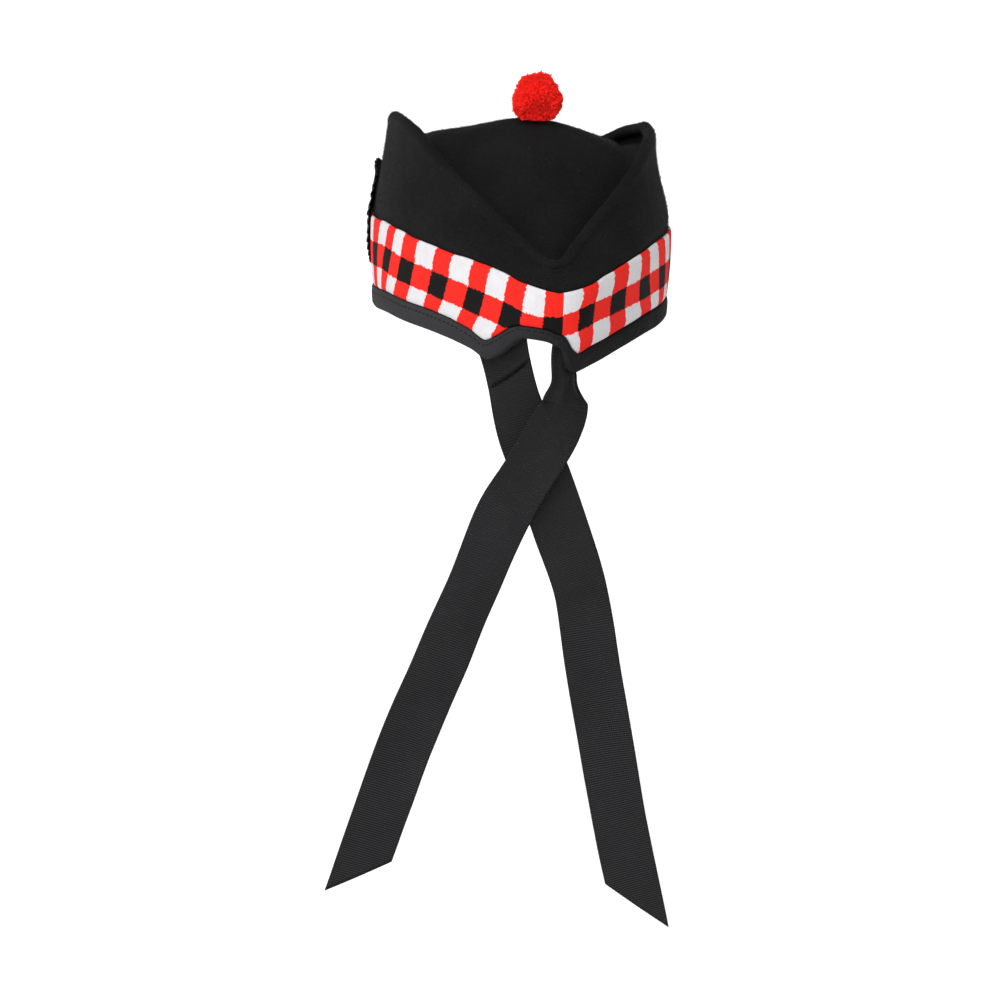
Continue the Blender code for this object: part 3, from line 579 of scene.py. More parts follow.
# rows run square off one rolled edge, over the middle and square onto the other; the height eases from the
# sewn edge to the middle line, less a sag beside the roll and a crease along the middle
def makeCrown():
    edge, edgeOut, place = body["edge"], body["edgeOut"], body["place"]
    left = np.flatnonzero((edge[:, 0] > crownSizes["start"]) & (place > 0))
    right = len(place) - left
    at = place[left]
    drop = follow(crownEdgeRows, "drop", np.abs(place)) * crownSizes["sewnDrop"]
    sag = follow(crownEdgeRows, "sag", at)[:, None] * crownSizes["valleyDepth"]
    wide = follow(crownEdgeRows, "width", at)[:, None] * crownSizes["valleyWidth"]
    brink = downInside(cap["roll"] + 2 * cap["gap"] + drop) - edgeOut * 1.8 * cap["gap"]
    turned = edgeOut[:, 1] / np.maximum(np.abs(edgeOut[:, 0]), 0.3)
    squareOff = np.abs(brink[:, 0]) * np.clip(np.abs(brink[:, 0]) / 0.03, 0, 1)
    middleY = brink[:, 1] - 0.45 * squareOff * np.clip(turned, -1.2, 1.2)
    middleY = (middleY[left] + middleY[right]) / 2
    middleX = (brink[left, 0] + brink[right, 0]) / 2
    middleZ = follow(crownRows, "up", middleY / cap["backLength"]) * cap["crestHeight"]
    centre = np.stack([middleX, middleY], -1)
    s = np.sin(np.linspace(0, 1, crownSizes["rows"]) * math.pi / 2)[None, :, None]
    bare = 2 * cap["roll"] - cap["felt"] + cap["gap"]
    halves, shades = [], []
    for which, sign in ((left, 1.0), (right, -1.0)):
        start, out = brink[which], edgeOut[which]
        half = np.abs(start[:, 0] - middleX)
        pull = half[:, None] * 0.5
        b, c = start[:, :2] - out[:, :2] * pull, centre + np.array([sign, 0.0]) * pull
        plan = curve(s, start[:, None, :2], b[:, None], c[:, None], centre[:, None])
        inset = runLength(plan)
        w = np.clip((inset - bare) / np.maximum(inset[:, -1:] - bare, 0.001), 0, 1)
        dome = w * w * (3 - 2 * w) * 0.5 + (1 - (1 - w) ** 2) * 0.5
        room = np.clip(half / 0.03, 0, 1)[:, None]
        dip = np.exp(-((inset - 0.62 * wide) / (0.40 * wide)) ** 2) * room
        beside = np.abs(plan[..., 0] - middleX[:, None])
        opened = np.clip((half - 0.004) / 0.02, 0, 1)[:, None]
        crease = crownSizes["creaseDepth"] * np.exp(-(beside / crownSizes["creaseWidth"]) ** 1.5)
        seam = crownSizes["seamDepth"] * np.exp(-(beside / crownSizes["seamWidth"]) ** 2)
        cloud = crownSizes["cloud"] * (uneven(11, plan[..., 0], plan[..., 1], 0.03) - 1)
        cloud = cloud * ease(0.006, 0.016, inset)
        z = (start[:, 2:] + (middleZ - start[:, 2])[:, None] * dome - sag * dip
             + (cloud - crease - seam) * opened)
        halves.append(np.concatenate([plan, z[..., None]], -1))
        # painted shade: the crown is darker beside its sewn edge, in the valley by the roll, less so towards
        # the ears
        shades.append(np.exp(-(inset / crownSizes["shadeWidth"]) ** 2) * room * ease(1.0, 0.8, at)[:, None])
    halves[0][:, -1, 2] = (halves[0][:, -1, 2] + halves[1][:, -1, 2]) / 2
    top = np.concatenate([halves[0], halves[1][:, -2::-1]], 1)
    shade = np.concatenate([shades[0], shades[1][:, -2::-1]], 1).ravel()
    bottom = top - up * crownSizes["felt"]
    n, m, _ = top.shape
    a = np.arange(n * m).reshape(n, m)
    over, _ = quads(n, m)
    border = np.concatenate([a[0, :-1], a[:-1, -1], a[-1, :0:-1], a[:0:-1, 0]])
    after = np.roll(border, -1)
    rim = np.stack([border, border + n * m, after + n * m, after], -1)
    faces = np.concatenate([over, over[:, ::-1] + n * m, rim])
    makePiece("crownPanel", np.concatenate([top, bottom]), faces, crownFelt, "crown_panel",
              shade=np.concatenate([shade, shade]))
    return top


sideFace = makeSides()
crownTop = makeCrown()

nap = {
    "length": (0.0008, 0.0026),
    "thick": 0.00007,
    "lift": (0.25, 1.1),     # how steeply they stand off
    "curl": 0.35,
    "sunk": 0.0001,
}


# loose fibres that stand off the felt: each a bent three-sided spike rooted at a random spot of a grid
def makeNap(name, grid, middle, count, look, seed):
    rng = np.random.default_rng(seed)
    n, m, _ = grid.shape
    a, b = np.gradient(grid, axis=0), np.gradient(grid, axis=1)
    out = np.cross(a, b)
    area = np.linalg.norm(out, axis=2)
    out /= np.maximum(area, 1e-12)[..., None]
    out *= np.sign((out * (grid - middle)).sum(-1).mean())
    area[0], area[-1], area[:, 0], area[:, -1] = 0, 0, 0, 0
    picked = rng.choice(n * m, count, p=(area / area.sum()).ravel())
    i, j = picked // m, picked % m
    slip = rng.uniform(-0.5, 0.5, (2, count, 1))
    root, away = grid[i, j] + a[i, j] * slip[0] + b[i, j] * slip[1], out[i, j]
    over = unit(a[i, j])
    spin = rng.uniform(0, 2 * math.pi, count)[:, None]
    flat = over * np.cos(spin) + np.cross(away, over) * np.sin(spin)
    length = rng.uniform(*nap["length"], count)[:, None] * rng.uniform(0.6, 1.0, count)[:, None]
    lift = rng.uniform(*nap["lift"], count)[:, None]
    way = (away * lift + flat) / np.hypot(lift, 1)
    curl = rng.normal(0, nap["curl"], (count, 3))
    one = unit(np.cross(way, away))
    ring = circle(one, np.cross(way, one), evenTurns(3)) * nap["thick"]
    low, bend = root - away * nap["sunk"], root + way * length * 0.55
    tip = bend + (way + curl) * length * 0.5
    points = np.concatenate([low[:, None] + ring, bend[:, None] + ring * 0.8, tip[:, None]], 1)
    start = (np.arange(count) * 7)[:, None, None]
    walls = np.array([[0, 1, 4, 3], [1, 2, 5, 4], [2, 0, 3, 5]])[None] + start
    ends = np.array([[3, 4, 6], [4, 5, 6], [5, 3, 6], [2, 1, 0]])[None] + start
    makePiece(name, points, [walls.reshape(-1, 4), ends.reshape(-1, 3)], look)


# the loose fibres are paler than the felt they stand on: painted sheen for the light they catch
paleNapPaintedSheen = feltLook("loose wool fibre", 0.05, (0.008, 0.008, 0.0085), (0.026, 0.026, 0.028))
makeNap("feltNap", sideFace, sideFace.reshape(-1, 3).mean(0), 18000, paleNapPaintedSheen, 31)
makeNap("crownNap", crownTop, np.zeros(3), 6000, paleNapPaintedSheen, 32)


# woven dicing: columns are counted leftwards round the cap from the join at the back, rows from the top edge
diced = {
    "thickness": 0.0015,
    "bulge": 0.0007,
    "scallop": 0.00016,
    "columns": 46,
    "stations": 900,
    "crowding": 0.35,        # of the stations, towards the back
    "lines": 34,
    "below": 0.0006,         # the top of the straight wall
    "rounding": 0.0005,
    "rowHeight": 12.6,       # this and all that follows in millimetres
    "levelDepth": 12.6,      # how far below its top edge places along the band are measured
    "countDepth": 6.0,       # how far below it the columns are counted
}
# where columns begin, along the band to the left of the back corner; the ones between these are even
leftColumns = (-2.0, 6.5, 16.5, 28.0, 40.5, 53.0, 68.0, 81.75, 98.0, 111.5, 121.5, 131.0, 144.25, 159.75)
rightColumns = (-120.25, -109.0, -94.75, -80.25, -67.75, -52.25, -37.0, -22.25, -12.25, -2.0)
# how the cloth was drawn round the back: ends of the first two rows, lean of the columns, slip of the top
# edge, and how far the columns bend away in their second row
dicedRows = (
    ("along", "first", "second", "lean", "slip", "bend"),
    (-290, 12.6, 25.2, 0.00, 0.0, 0.0),
    (-150, 12.6, 25.2, -0.09, 0.3, 0.0),
    (-120, 14.5, 27.4, -0.30, 0.3, 0.2),
    (-95, 14.5, 27.4, -0.50, 0.4, 1.4),
    (-65, 13.8, 26.2, -0.32, 0.4, 2.7),
    (-45, 12.8, 24.7, -0.22, 0.4, 2.7),
    (-30, 11.9, 23.4, -0.17, 0.3, 2.5),
    (-18, 10.1, 22.4, -0.15, 0.2, 2.4),
    (-12, 10.4, 22.7, -0.12, 0.1, 2.4),
    (-6, 11.0, 23.1, -0.03, 0.0, 1.2),
    (3, 12.6, 25.0, 0.02, 0.0, 0.0),
    (10, 14.5, 27.0, 0.10, 0.0, 0.0),
    (27, 14.9, 28.7, 0.34, 0.1, -1.0),
    (45, 15.1, 28.6, 0.44, 0.6, -2.0),
    (55, 15.2, 28.6, 0.46, 1.2, -2.4),
    (77, 15.2, 28.6, 0.46, 2.4, -2.1),
    (100, 14.7, 27.8, 0.43, 2.3, -2.0),
    (115, 13.8, 27.3, 0.42, 0.8, -1.4),
    (127, 12.8, 26.9, 0.48, 0.3, -1.0),
    (140, 12.2, 25.3, 0.50, 0.0, -0.6),
    (165, 12.6, 25.2, 0.09, 0.0, 0.0),
    (290, 12.6, 25.2, 0.00, 0.0, 0.0),
)
joinRows = (
    ("level", "along"),
    (0.00, -3.2), (0.35, -2.6), (0.60, -2.2), (1.00, -2.0),
)


# even columns and the middle row each change the colour, red between white and black; threads and noise move
# the joins a little, and every colour is darker between its threads
def dicedLook():
    look = Look("woven dicing", Sheen_Weight=0.005, Sheen_Roughness=0.5, Specular_IOR_Level=0.045)
    along, down = look.measures()
    count, row = look.measures("check")
    at = look.place()
    jitter = look.noise(at, 2300.0, 2.0) - 0.5
    wander = look.noise(at, 240.0, 2.0) - 0.5
    u = count + jitter * 0.05 + wander * 0.09 + (down.threads(0.0009) - 0.5) * 0.06
    v = row + jitter * 0.05 - wander * 0.07 + (along.threads(0.0008) - 0.5) * 0.06
    even = (u / 2).fraction() < 0.5
    middle = (v > 1.0) * (v < 2.0)
    thread = along.wave(0.00062) * 0.5 + down.wave(0.00048) * 0.5
    fleck = look.noise(at, 1500.0, 2.0, 0.6).between(0.60, 0.74)
    red = look.mix(fleck * 0.35, (0.76, 0.020, 0.013), (0.84, 0.10, 0.07))
    white = look.mix(look.noise(at, 300.0), (0.56, 0.545, 0.57), (0.69, 0.675, 0.69))
    black = look.mix(thread, (0.002, 0.002, 0.002), (0.010, 0.0095, 0.010))
    colour = look.mix(even, look.mix(middle, white, red), look.mix(middle, red, black))
    shade = look.mix((thread * 0.8).between(0.0, 0.7), (0.80, 0.80, 0.80), (1.0, 1.0, 1.0))
    multiply = {"data_type": "RGBA", "blend_type": "MULTIPLY"}
    colour = look.node("Mix", multiply, {0: 1.0, 6: colour, 7: shade}, out=2)
    return look.finish(colour, 0.72 + thread * 0.18, thread * 0.7 + look.noise(at, 1800.0) * 0.3, 0.00035)


# closed rows of the band, each from its own place on the leaning join right round to it again
def makeBand():
    order = np.argsort(body["place"])
    line = onWall(body, body["wallTop"] - diced["levelDepth"] / 1000, diced["thickness"])[order]
    line = np.concatenate([line[-1:], line])
    linePlace = np.concatenate([[-2.0], body["place"][order]])
    run = 1000 * runLength(line)
    run -= np.interp(0, linePlace, run)
    total = run[-1] - run[0]
    inner = 2 * cap["gap"]
    turn = np.linspace(0, 1, diced["stations"] + 1)
    shaped = turn - diced["crowding"] * np.sin(2 * math.pi * turn) / (2 * math.pi)
    columnEdges = np.concatenate([leftColumns, total + np.array(rightColumns)])
    lastColumns = diced["columns"] + 1 - len(rightColumns) + np.arange(len(rightColumns))
    columnCount = np.concatenate([np.arange(len(leftColumns)), lastColumns])
    rows, measure, checks = [], [], []
    sections = [(0.0, inner)] + [(v, None) for v in np.linspace(0, 1, diced["lines"])] + [(1.0, inner)]
    for v, flat in sections:
        along = np.interp(v, column(joinRows, "level"), column(joinRows, "along")) + total * shaped
        near = np.where(along > run[-1], along - total, along)
        loop = goRound(np.interp(near, run, linePlace)[:-1])
        low = loop["tapeTop"] + cap["gap"] * 1.6
        top = loop["wallTop"] - diced["below"]
        high = top - follow(dicedRows, "slip", near)[:-1] / 1000
        high = high - diced["scallop"] * (1 + uneven(14, near[:-1] / 1000, 0, 0.012, 5))
        puff = diced["thickness"] + diced["bulge"] * np.sin(math.pi * v) ** 0.8
        edgeIn = diced["rounding"] * (np.exp(-v / 0.02) + np.exp(-(1 - v) / 0.02))
        height = low + (high - low) * v
        rows.append(onWall(loop, height, flat if flat is not None else inner + puff - edgeIn))
        down = 1000 * (top - height)
        down = np.concatenate([down, down[:1]])
        first, second = (follow(dicedRows, key, near) for key in ("first", "second"))
        row = np.where(down < first, down / first, np.where(
            down < second, 1 + (down - first) / (second - first), 2 + (down - second) / diced["rowHeight"]))
        bend = follow(dicedRows, "bend", near) * ease(0.4, 1.2, row) * (1 - 0.75 * ease(1.9, 2.6, row))
        moved = along - follow(dicedRows, "lean", near) * (down - diced["countDepth"]) - bend
        count = np.clip(np.interp(moved, columnEdges, columnCount), 0.05, diced["columns"] - 0.05)
        measure.append(np.stack([along, down], -1) / 1000)
        checks.append(np.stack([count, row], -1))
    grid = np.stack(rows, 1)
    measure, checks = np.stack(measure + measure[:1], 1), np.stack(checks + checks[:1], 1)
    faces, marks = quads(*grid.shape[:2], True, True)
    print("band length", round(total, 1), "mm")
    makePiece("dicedBand", grid, faces[:, ::-1], dicedLook(), "diced_band",
              layers={"measure": measure, "check": checks}, marks=[marks[:, ::-1]])


makeBand()


# black tape over the lower edge: ribs across it, a row of stitches, paler on the wearer's left as a painted
# highlight
def tapeLook():
    look = Look("black binding tape", Sheen_Weight=0.005, Sheen_Roughness=0.4, Specular_IOR_Level=0.03)
    along, girth = look.measures()
    at = look.place()
    rib = along.wave(0.0009)
    cloud = look.noise(at, 160.0, 2.0)
    stitch = (along.wave(0.0034) > 0.35) * (1 - (girth - tape["stitchRow"]).size().between(0.0002, 0.0004))
    # painted highlight: the tape grows paler towards the wearer's left, where the light falls
    wearAndPaintedLight = look.split(at)[0].between(-0.055, 0.060)
    weave = rib * 0.6 + cloud * 0.4
    colour = look.mix(wearAndPaintedLight, look.mix(weave, (0.0012, 0.0012, 0.0014), (0.005, 0.005, 0.0056)),
                      look.mix(weave, (0.016, 0.016, 0.017), (0.037, 0.037, 0.039)))
    colour = look.mix(stitch * 0.8, colour, (0.002, 0.002, 0.002))
    height = rib * 0.75 + look.noise(at, 2200.0) * 0.25 - stitch * 0.8
    return look.finish(colour, 0.60 + cloud * 0.2, height, 0.0003)


tapeCloth = tapeLook()


def makeBinding():
    low, top = body["low"], body["tapeTop"]
    inner = low + np.minimum(tape["flap"], 0.9 * (top - low))
    proud, back, gap = tape["proud"], -(cap["felt"] + 1.5 * cap["gap"]), cap["gap"]
    arc = body["arc"]
    inside = back - tape["flapThick"]
    # height and distance out of the tape's section: its outer face, the fold, and the flap up inside
    section = [(top, gap), (top, proud - 0.0011), (top - 0.0003, proud - 0.0004),
               (top - 0.0009, proud - 0.0001)]
    for k, v in enumerate(np.linspace(0.16, 0.86, 9)):
        bump = tape["bump"] * uneven(20 + k, arc, 0 * arc + k * 0.002, 0.006)
        section.append((top - (top - low) * v, proud + tape["bulge"] * math.sin(math.pi * v) + bump))
    section += [(low + 0.0009, proud - 0.0002), (low + 0.0003, proud - 0.0007), (low, proud - 0.0015),
                (low, (proud + back) / 2), (low, back - 0.0006), (low + 0.0003, back - 0.0012),
                (low + 0.0009, inside), ((low + inner) / 2, inside), (inner, inside), (inner, back),
                (low + tape["sole"], back), (low + tape["sole"], gap)]
    grid = np.stack([onWall(body, height, out) for height, out in section], 1)
    fold = np.concatenate([grid[:, 8], grid[:1, 8]])
    girth = np.concatenate([runLength(grid).mean(0), [0.03]])
    measure = np.stack(np.meshgrid(runLength(fold), girth, indexing="ij"), -1)
    faces, marks = quads(*grid.shape[:2], True, True)
    makePiece("edgeBinding", grid, faces, tapeCloth, "edge_binding",
              layers={"measure": measure}, marks=[marks])


makeBinding()

tail = {
    "width": 0.0285,
    "thickness": 0.0006,
    "solidThickness": 0.0010,
    "drop": 0.280,
    "spread": 0.090,
    "rows": 460,
    "columns": 33,
    "ripple": 0.0008,
    "steps": 30,             # from its top to the cut, as counted for the creases
    "held": 6,               # how many of them are held by the binding
    "crease": 0.0008,        # half its width; a soft lip lies above it
    "lipAt": 0.0024,
    "lipWidth": 0.0018,
}
tailLeftRows = (
    ("x", "y", "z", "facing", "width", "bow"),
    (0.264, 0.810, 0.064, 42, 0.98, 0.030),
    (0.230, 0.832, 0.028, 43, 1.00, 0.030),
    (0.182, 0.860, -0.045, 58, 0.95, 0.020),
    (0.105, 0.890, -0.120, 76, 1.00, 0.000),
    (0.005, 0.905, -0.195, 86, 1.00, -0.020),
    (-0.105, 0.905, -0.285, 90, 1.00, 0.000),
    (-0.250, 0.900, -0.415, 96, 0.97, 0.030),
    (-0.330, 0.912, -0.545, 90, 1.00, 0.000),
    (-0.430, 0.898, -0.690, 84, 1.00, -0.030),
    (-0.535, 0.905, -0.845, 92, 1.00, 0.000),
    (-0.681, 0.900, -1.033, 90, 1.00, 0.020),
)
tailRightRows = (
    ("x", "y", "z", "facing", "width", "bow"),
    (-0.052, 0.930, 0.062, 108, 0.72, 0.120),
    (-0.080, 0.928, 0.030, 108, 0.66, 0.100),
    (-0.098, 0.930, -0.010, 108, 0.57, 0.050),
    (-0.094, 0.953, -0.052, 100, 0.87, 0.030),
    (-0.032, 0.966, -0.100, 92, 0.96, 0.000),
    (0.100, 0.965, -0.180, 88, 0.95, -0.020),
    (0.230, 0.955, -0.260, 90, 1.00, 0.000),
    (0.378, 0.955, -0.390, 95, 0.97, 0.030),
    (0.560, 0.965, -0.545, 90, 1.00, 0.000),
    (0.730, 0.948, -0.700, 84, 1.00, -0.030),
    (0.975, 0.958, -0.956, 92, 1.00, 0.020),
)
# each crease: its step at the middle of the tail, how many steps lower at the wearer's left, depth, and how
# dark its painted shade is
tails = {
    "tailLeft": {"node": "ribbon_left", "table": tailLeftRows, "outer": -1, "root": 0.0350,
                 "rootWidth": 0.0375, "cut": 0.034, "seed": 41, "creases": ((4.95, 1.19, 0.0017, 1.0),)},
    "tailRight": {"node": "ribbon_right", "table": tailRightRows, "outer": 1, "root": -0.0110,
                  "rootWidth": 0.0212, "cut": 0.0246, "seed": 47, "creases": ((11.9, -3.45, -0.0002, 0.3),)},
}
# over the binding's lower edge, at each of the first steps
rootHeights = (0.0064, 0.0040, 0.0016, -0.0010, -0.0038, -0.0070, -0.0102)


# grosgrain: close ribs crossed by finer picks, a firm edge, faint clouds of wear, painted shade by "shade"
# and towards the top of a tail
def grosgrainLook():
    look = Look("black grosgrain", Sheen_Weight=0.004, Sheen_Roughness=0.35, Specular_IOR_Level=0.08)
    across, along = look.measures()
    at = look.place()
    rib = along.wave(0.00122)
    weave = rib * (0.6 + across.wave(0.00115) * 0.4)
    cloud = look.noise(at, 90.0, 2.0)
    wearAndPaintedLight = look.noise(at, 22.0, 2.0)
    side = (across - tail["width"] / 2).size()
    selvage = side.between(tail["width"] / 2 - 0.0011, tail["width"] / 2 - 0.0005)
    crisp = along.between(0.03, 0.22) * 0.55 + 0.2    # the ribs show more and more towards the cut end
    # painted shade: darker at the top of a tail, under the cap's edge, paler over the first 0.12 m down
    light = (weave - 0.5) * crisp + (cloud + wearAndPaintedLight) * 0.15 + along.between(0.0, 0.12) * 0.08 + 0.17
    colour = look.mix(light, (0.0022, 0.0022, 0.0023), (0.031, 0.031, 0.033))
    colour = look.mix(selvage * 0.5, colour, (0.009, 0.009, 0.0095))
    colour = look.mix(look.shade(), colour, (0.003, 0.003, 0.003))
    return look.finish(colour, 0.55 + cloud * 0.15, weave * 0.7 + look.noise(at, 2500.0) * 0.3, 0.0003)


grosgrain = grosgrainLook()


# rows of points that lie against the inside of the binding, which they follow round the corner
def rootPoints(place, width, heights, across):
    order = np.argsort(body["arc"])
    order = order[np.abs(body["arc"][order]) < 0.08]
    arc = body["arc"][order]
    back = -(cap["felt"] + 3 * cap["gap"] + tape["flapThick"] + tail["solidThickness"] / 2)
    lines = []
    for height in heights:
        line = onWall(body, body["low"] + height, back)[order]
        lines.append(slide(place + across * width, arc, line))
    return np.array(lines)


# a flat tail carried down a smooth path, bowed and rippled across, pleated where it is drawn together
def makeTail(name, node, table, outer, root, rootWidth, cut, seed, creases):
    rows = len(table) - 1
    # the same table with its rows counted, to be followed by their count
    counted = tuple([("n",) + table[0]] + [(k,) + row for k, row in enumerate(table[1:])])
    s = np.linspace(0, 1, tail["rows"])
    at = (rows - 1) * (0.4 * s + 0.6 * s * s)
    path = np.stack([follow(counted, "x", at) * tail["spread"],
                     follow(counted, "y", at) * cap["backCorner"],
                     follow(counted, "z", at) * tail["drop"]], -1)
    facing = np.radians(follow(counted, "facing", at))
    share = follow(counted, "width", at)
    width = share * tail["width"]
    run = unit(np.gradient(path, axis=0))
    face = np.stack([np.cos(facing), np.sin(facing), 0 * facing], -1)
    side = unit(np.cross(run, face))
    side *= np.sign(side[-1, 0])
    normal = np.cross(side, run)
    normal *= np.sign(normal[:, 1])[:, None]
    across = np.linspace(-0.5, 0.5, tail["columns"])
    slant = np.clip(at - (rows - 2), 0, 1)[:, None] * across * outer * cut
    bow = follow(counted, "bow", at)[:, None] * tail["width"] * (1 - 4 * across ** 2)
    length = runLength(path)[:, None]
    ripple = tail["ripple"] * uneven(seed, across * tail["width"], length, 0.045) * ease(2, 4, at)[:, None]
    middle = (path[:, None] + side[:, None] * (across * width[:, None])[..., None]
              + run[:, None] * slant[..., None] + normal[:, None] * (bow + ripple)[..., None])
    k = at * tail["steps"] / (rows - 1)
    held = k < tail["held"]
    heights = np.interp(k[held], np.arange(len(rootHeights)), rootHeights)
    hold = ease(0, 4, tail["held"] - k[held])[:, None, None]
    middle[held] = rootPoints(root, rootWidth, heights, across) * hold + middle[held] * (1 - hold)
    normal = unit(np.cross(np.gradient(middle, axis=1), np.gradient(middle, axis=0)))
    normal *= np.sign(normal[-1, tail["columns"] // 2, 1])
    # cloth that the narrow places leave over stands in pleats across
    spare = np.sqrt(2 * (1 / np.clip(share, 0.5, 0.995) ** 2 - 1)) * ease(0.99, 0.80, share)
    deep = (spare * width / (2 * math.pi))[:, None]
    gather = 0.30 * (np.cos(2 * math.pi * across) - 1) - 0.10 * (1 + np.cos(6 * math.pi * across + 1.1))
    stepLength = np.linalg.norm(np.gradient(middle, axis=0), axis=2) / np.gradient(k)[:, None]
    inside = 1 - ease(0.36, 0.49, np.abs(across))
    # painted shade held as "shade": darker towards the top of the tail, under the cap's edge
    dent, shade = 0 * stepLength, 0 * stepLength + 0.45 * ease(8, 1, at)[:, None]
    # each crease is dented and gets a line of painted shade along it
    for row, lower, depth, paintedCreaseShade in creases:
        off = (k[:, None] - row - lower * across) * stepLength
        line = np.exp(-(off / tail["crease"]) ** 2)
        dent += depth * inside * (0.6 * np.exp(-((off + tail["lipAt"]) / tail["lipWidth"]) ** 2) - line)
        shade = np.maximum(shade, paintedCreaseShade * line)
    middle = middle + normal * (deep * gather + dent)[..., None]
    shade = np.maximum(shade, 0.7 * (at > at[-1] - 0.004)[:, None])
    faces, marks = quads(*shade.shape)
    measure = np.stack([np.broadcast_to((across + 0.5) * tail["width"], shade.shape), length + slant], -1)
    piece = makePiece(name, middle, faces, grosgrain, node, layers={"measure": measure},
                      marks=[marks], shade=shade.ravel())
    thicken(piece, tail["thickness"])
    long = round(float(length[-1, 0]), 3)
    round(long + cut / 2, 3)


for name, sizes in tails.items():
    makeTail(name, **sizes)

pompom = {
    "radius": 0.0131,
    "back": 0.027,
    "lift": 0.0113,
    "foot": 0.006,
    "full": 1.0,
    "yarns": 720,
    "fibres": 8,
    "spread": (0.03, 0.031),         # of the yarns over the ball, and of the fibres within a yarn
    "ragged": (0.00032, 0.00012),    # how unevenly yarns, and the fibres of one, were cut
    "neat": 0.995,                   # share of fibres that don't stray
    "strayLength": (0.0006, 0.0018),
    "steps": (0.78, 0.955, 1.0),     # where a fibre has points, how thick it is there, and how bright with painted shade towards its root
    "thick": (0.00034, 0.00042, 0.00028),
    "paintedBrightness": (0.3, 0.85, 1.0),
    "bend": 0.0003,
    "core": 0.90,
    "coreGrid": (48, 30),
    "soft": 0.0016,                  # height over which the pile spreads out on the crown
    "bulge": (0.80, 0.25, -0.50, 0.10),      # direction it is fuller in, and by how much
    # directions it was clipped flat in, and where
    "flats": ((-0.853, 0.05, 0.521, 0.82), (0.933, 0.0, 0.359, 0.87), (0.316, 0.1, 0.949, 0.86),
              (-0.2, 0.2, 0.96, 0.88), (0.15, 0.98, -0.12, 0.97), (-0.4, -0.9, 0.15, 0.95),
              (0.0, 0.78, -0.62, 0.73)),
}


# cut wool pile: darker down between the yarns as painted shade, and each end its own random tone, both held
# as "shade"
def yarnLook():
    look = Look("red cut yarn", Sheen_Weight=0.03, Sheen_Roughness=0.5, Sheen_Tint=(1.0, 0.3, 0.25),
                Specular_IOR_Level=0.08)
    at = look.place()
    grain = look.noise(at, 1800.0, 2.0)
    light = (look.shade() * 0.85 + grain * 0.2).between(0.0, 1.0)
    colour = look.mix(light, (0.62, 0.006, 0.005), (1.0, 0.026, 0.017))
    return look.finish(colour, 0.8 + grain * 0.15, grain, 0.0002)


yarn = yarnLook()


# directions at these turns round the upright and angles from it
def ballWay(spin, tilt):
    return np.stack([np.cos(spin) * np.sin(tilt), np.sin(spin) * np.sin(tilt), np.cos(tilt)], -1)


# how far the pile reaches in each direction: a lumpy ball with its flat sides
def pileReach(way):
    reach = pompom["full"] + 0.03 * np.sin(3.1 * way[..., 0] + 1.3) * np.cos(2.7 * way[..., 2] + 0.4)
    reach = reach + pompom["bulge"][3] * np.clip(way @ pompom["bulge"][:3], 0, 1) ** 4
    for x, y, z, share in pompom["flats"]:
        reach = np.minimum(reach, share / np.maximum(way @ unit(np.array([x, y, z])), 0.3))
    return reach * pompom["radius"]


# four-sided fibres in yarns that are spread over the ball in a spiral, round a plain core
def makePompom():
    rng = np.random.default_rng(12)
    soft = pompom["soft"]
    centre = np.array([0.0, pompom["back"], cap["crestHeight"] + pompom["lift"]])
    under = np.linalg.norm(crownTop[..., :2] - centre[:2], axis=-1) < pompom["foot"]
    ground = crownTop[under][:, 2].max() + cap["gap"]
    yarns, each = pompom["yarns"], pompom["fibres"]
    count = yarns * each
    n = np.arange(yarns) + 0.5
    middle = ballWay(math.pi * (1 + 5 ** 0.5) * n, np.arccos(1 - 2 * n / yarns))
    middle = middle + rng.normal(0, pompom["spread"][0], (yarns, 3))
    way = unit(np.repeat(middle, each, 0) + rng.normal(0, pompom["spread"][1], (count, 3)))
    ragged = [rng.normal(0, size, many) for size, many in zip(pompom["ragged"], (yarns, count))]
    tip = pileReach(way) + np.repeat(ragged[0], each) + ragged[1]
    stray = rng.uniform(0, 1, count) > pompom["neat"]
    tip = np.where(stray, tip + rng.uniform(*pompom["strayLength"], count), tip)
    shade = np.repeat(rng.uniform(0.6, 1.0, yarns), each) * rng.uniform(0.9, 1.05, count)
    steps = np.array(pompom["steps"])
    thick = pompom["thick"] * rng.uniform(0.8, 1.2, (count, 1)) * np.where(stray, 0.3, 1)[:, None]
    bend = rng.normal(0, pompom["bend"], (count, 3))
    spine = centre + way[:, None] * (tip[:, None] * steps)[..., None] + bend[:, None] * (steps ** 2)[:, None]
    sideways = unit(np.cross(way, np.array([0.31, 0.53, 0.79])))
    ring = circle(sideways, np.cross(way, sideways), evenTurns(4))
    fibres = spine[:, :, None] + thick[..., None, None] * ring[:, None]
    turns, rows = pompom["coreGrid"]
    coreWay = ballWay(*np.meshgrid(evenTurns(turns), np.linspace(0.05, math.pi - 0.05, rows), indexing="ij"))
    core = centre + coreWay * (pileReach(coreWay) * pompom["core"])[..., None]
    points = np.concatenate([fibres.reshape(-1, 3), core.reshape(-1, 3)])
    sink = np.maximum(ground + soft - points[:, 2], 0)
    points[:, 2] += sink - soft * np.tanh(sink / soft)
    walls, _ = quads(3, 4, False, True)
    ends = [[3, 2, 1, 0], [8, 9, 10, 11]]
    first = (np.arange(count) * 12)[:, None, None]
    fibreFaces = (np.concatenate([walls, ends])[None] + first).reshape(-1, 4)
    coreFaces, _ = quads(turns, rows, True, False)
    poles = np.arange(turns) * rows
    faces = [np.concatenate([fibreFaces, coreFaces[:, ::-1] + 12 * count]),
             np.stack([poles, poles[::-1] + rows - 1]) + 12 * count]
    # painted shade: each fibre darker towards its root, the core darker still, deep in the pile
    paintedBrightness = np.repeat(shade[:, None] * pompom["paintedBrightness"], 4)
    makePiece("pompomPile", points, faces, yarn, "toorie",
              shade=np.concatenate([paintedBrightness, np.full(turns * rows, 0.25)]))


makePompom()

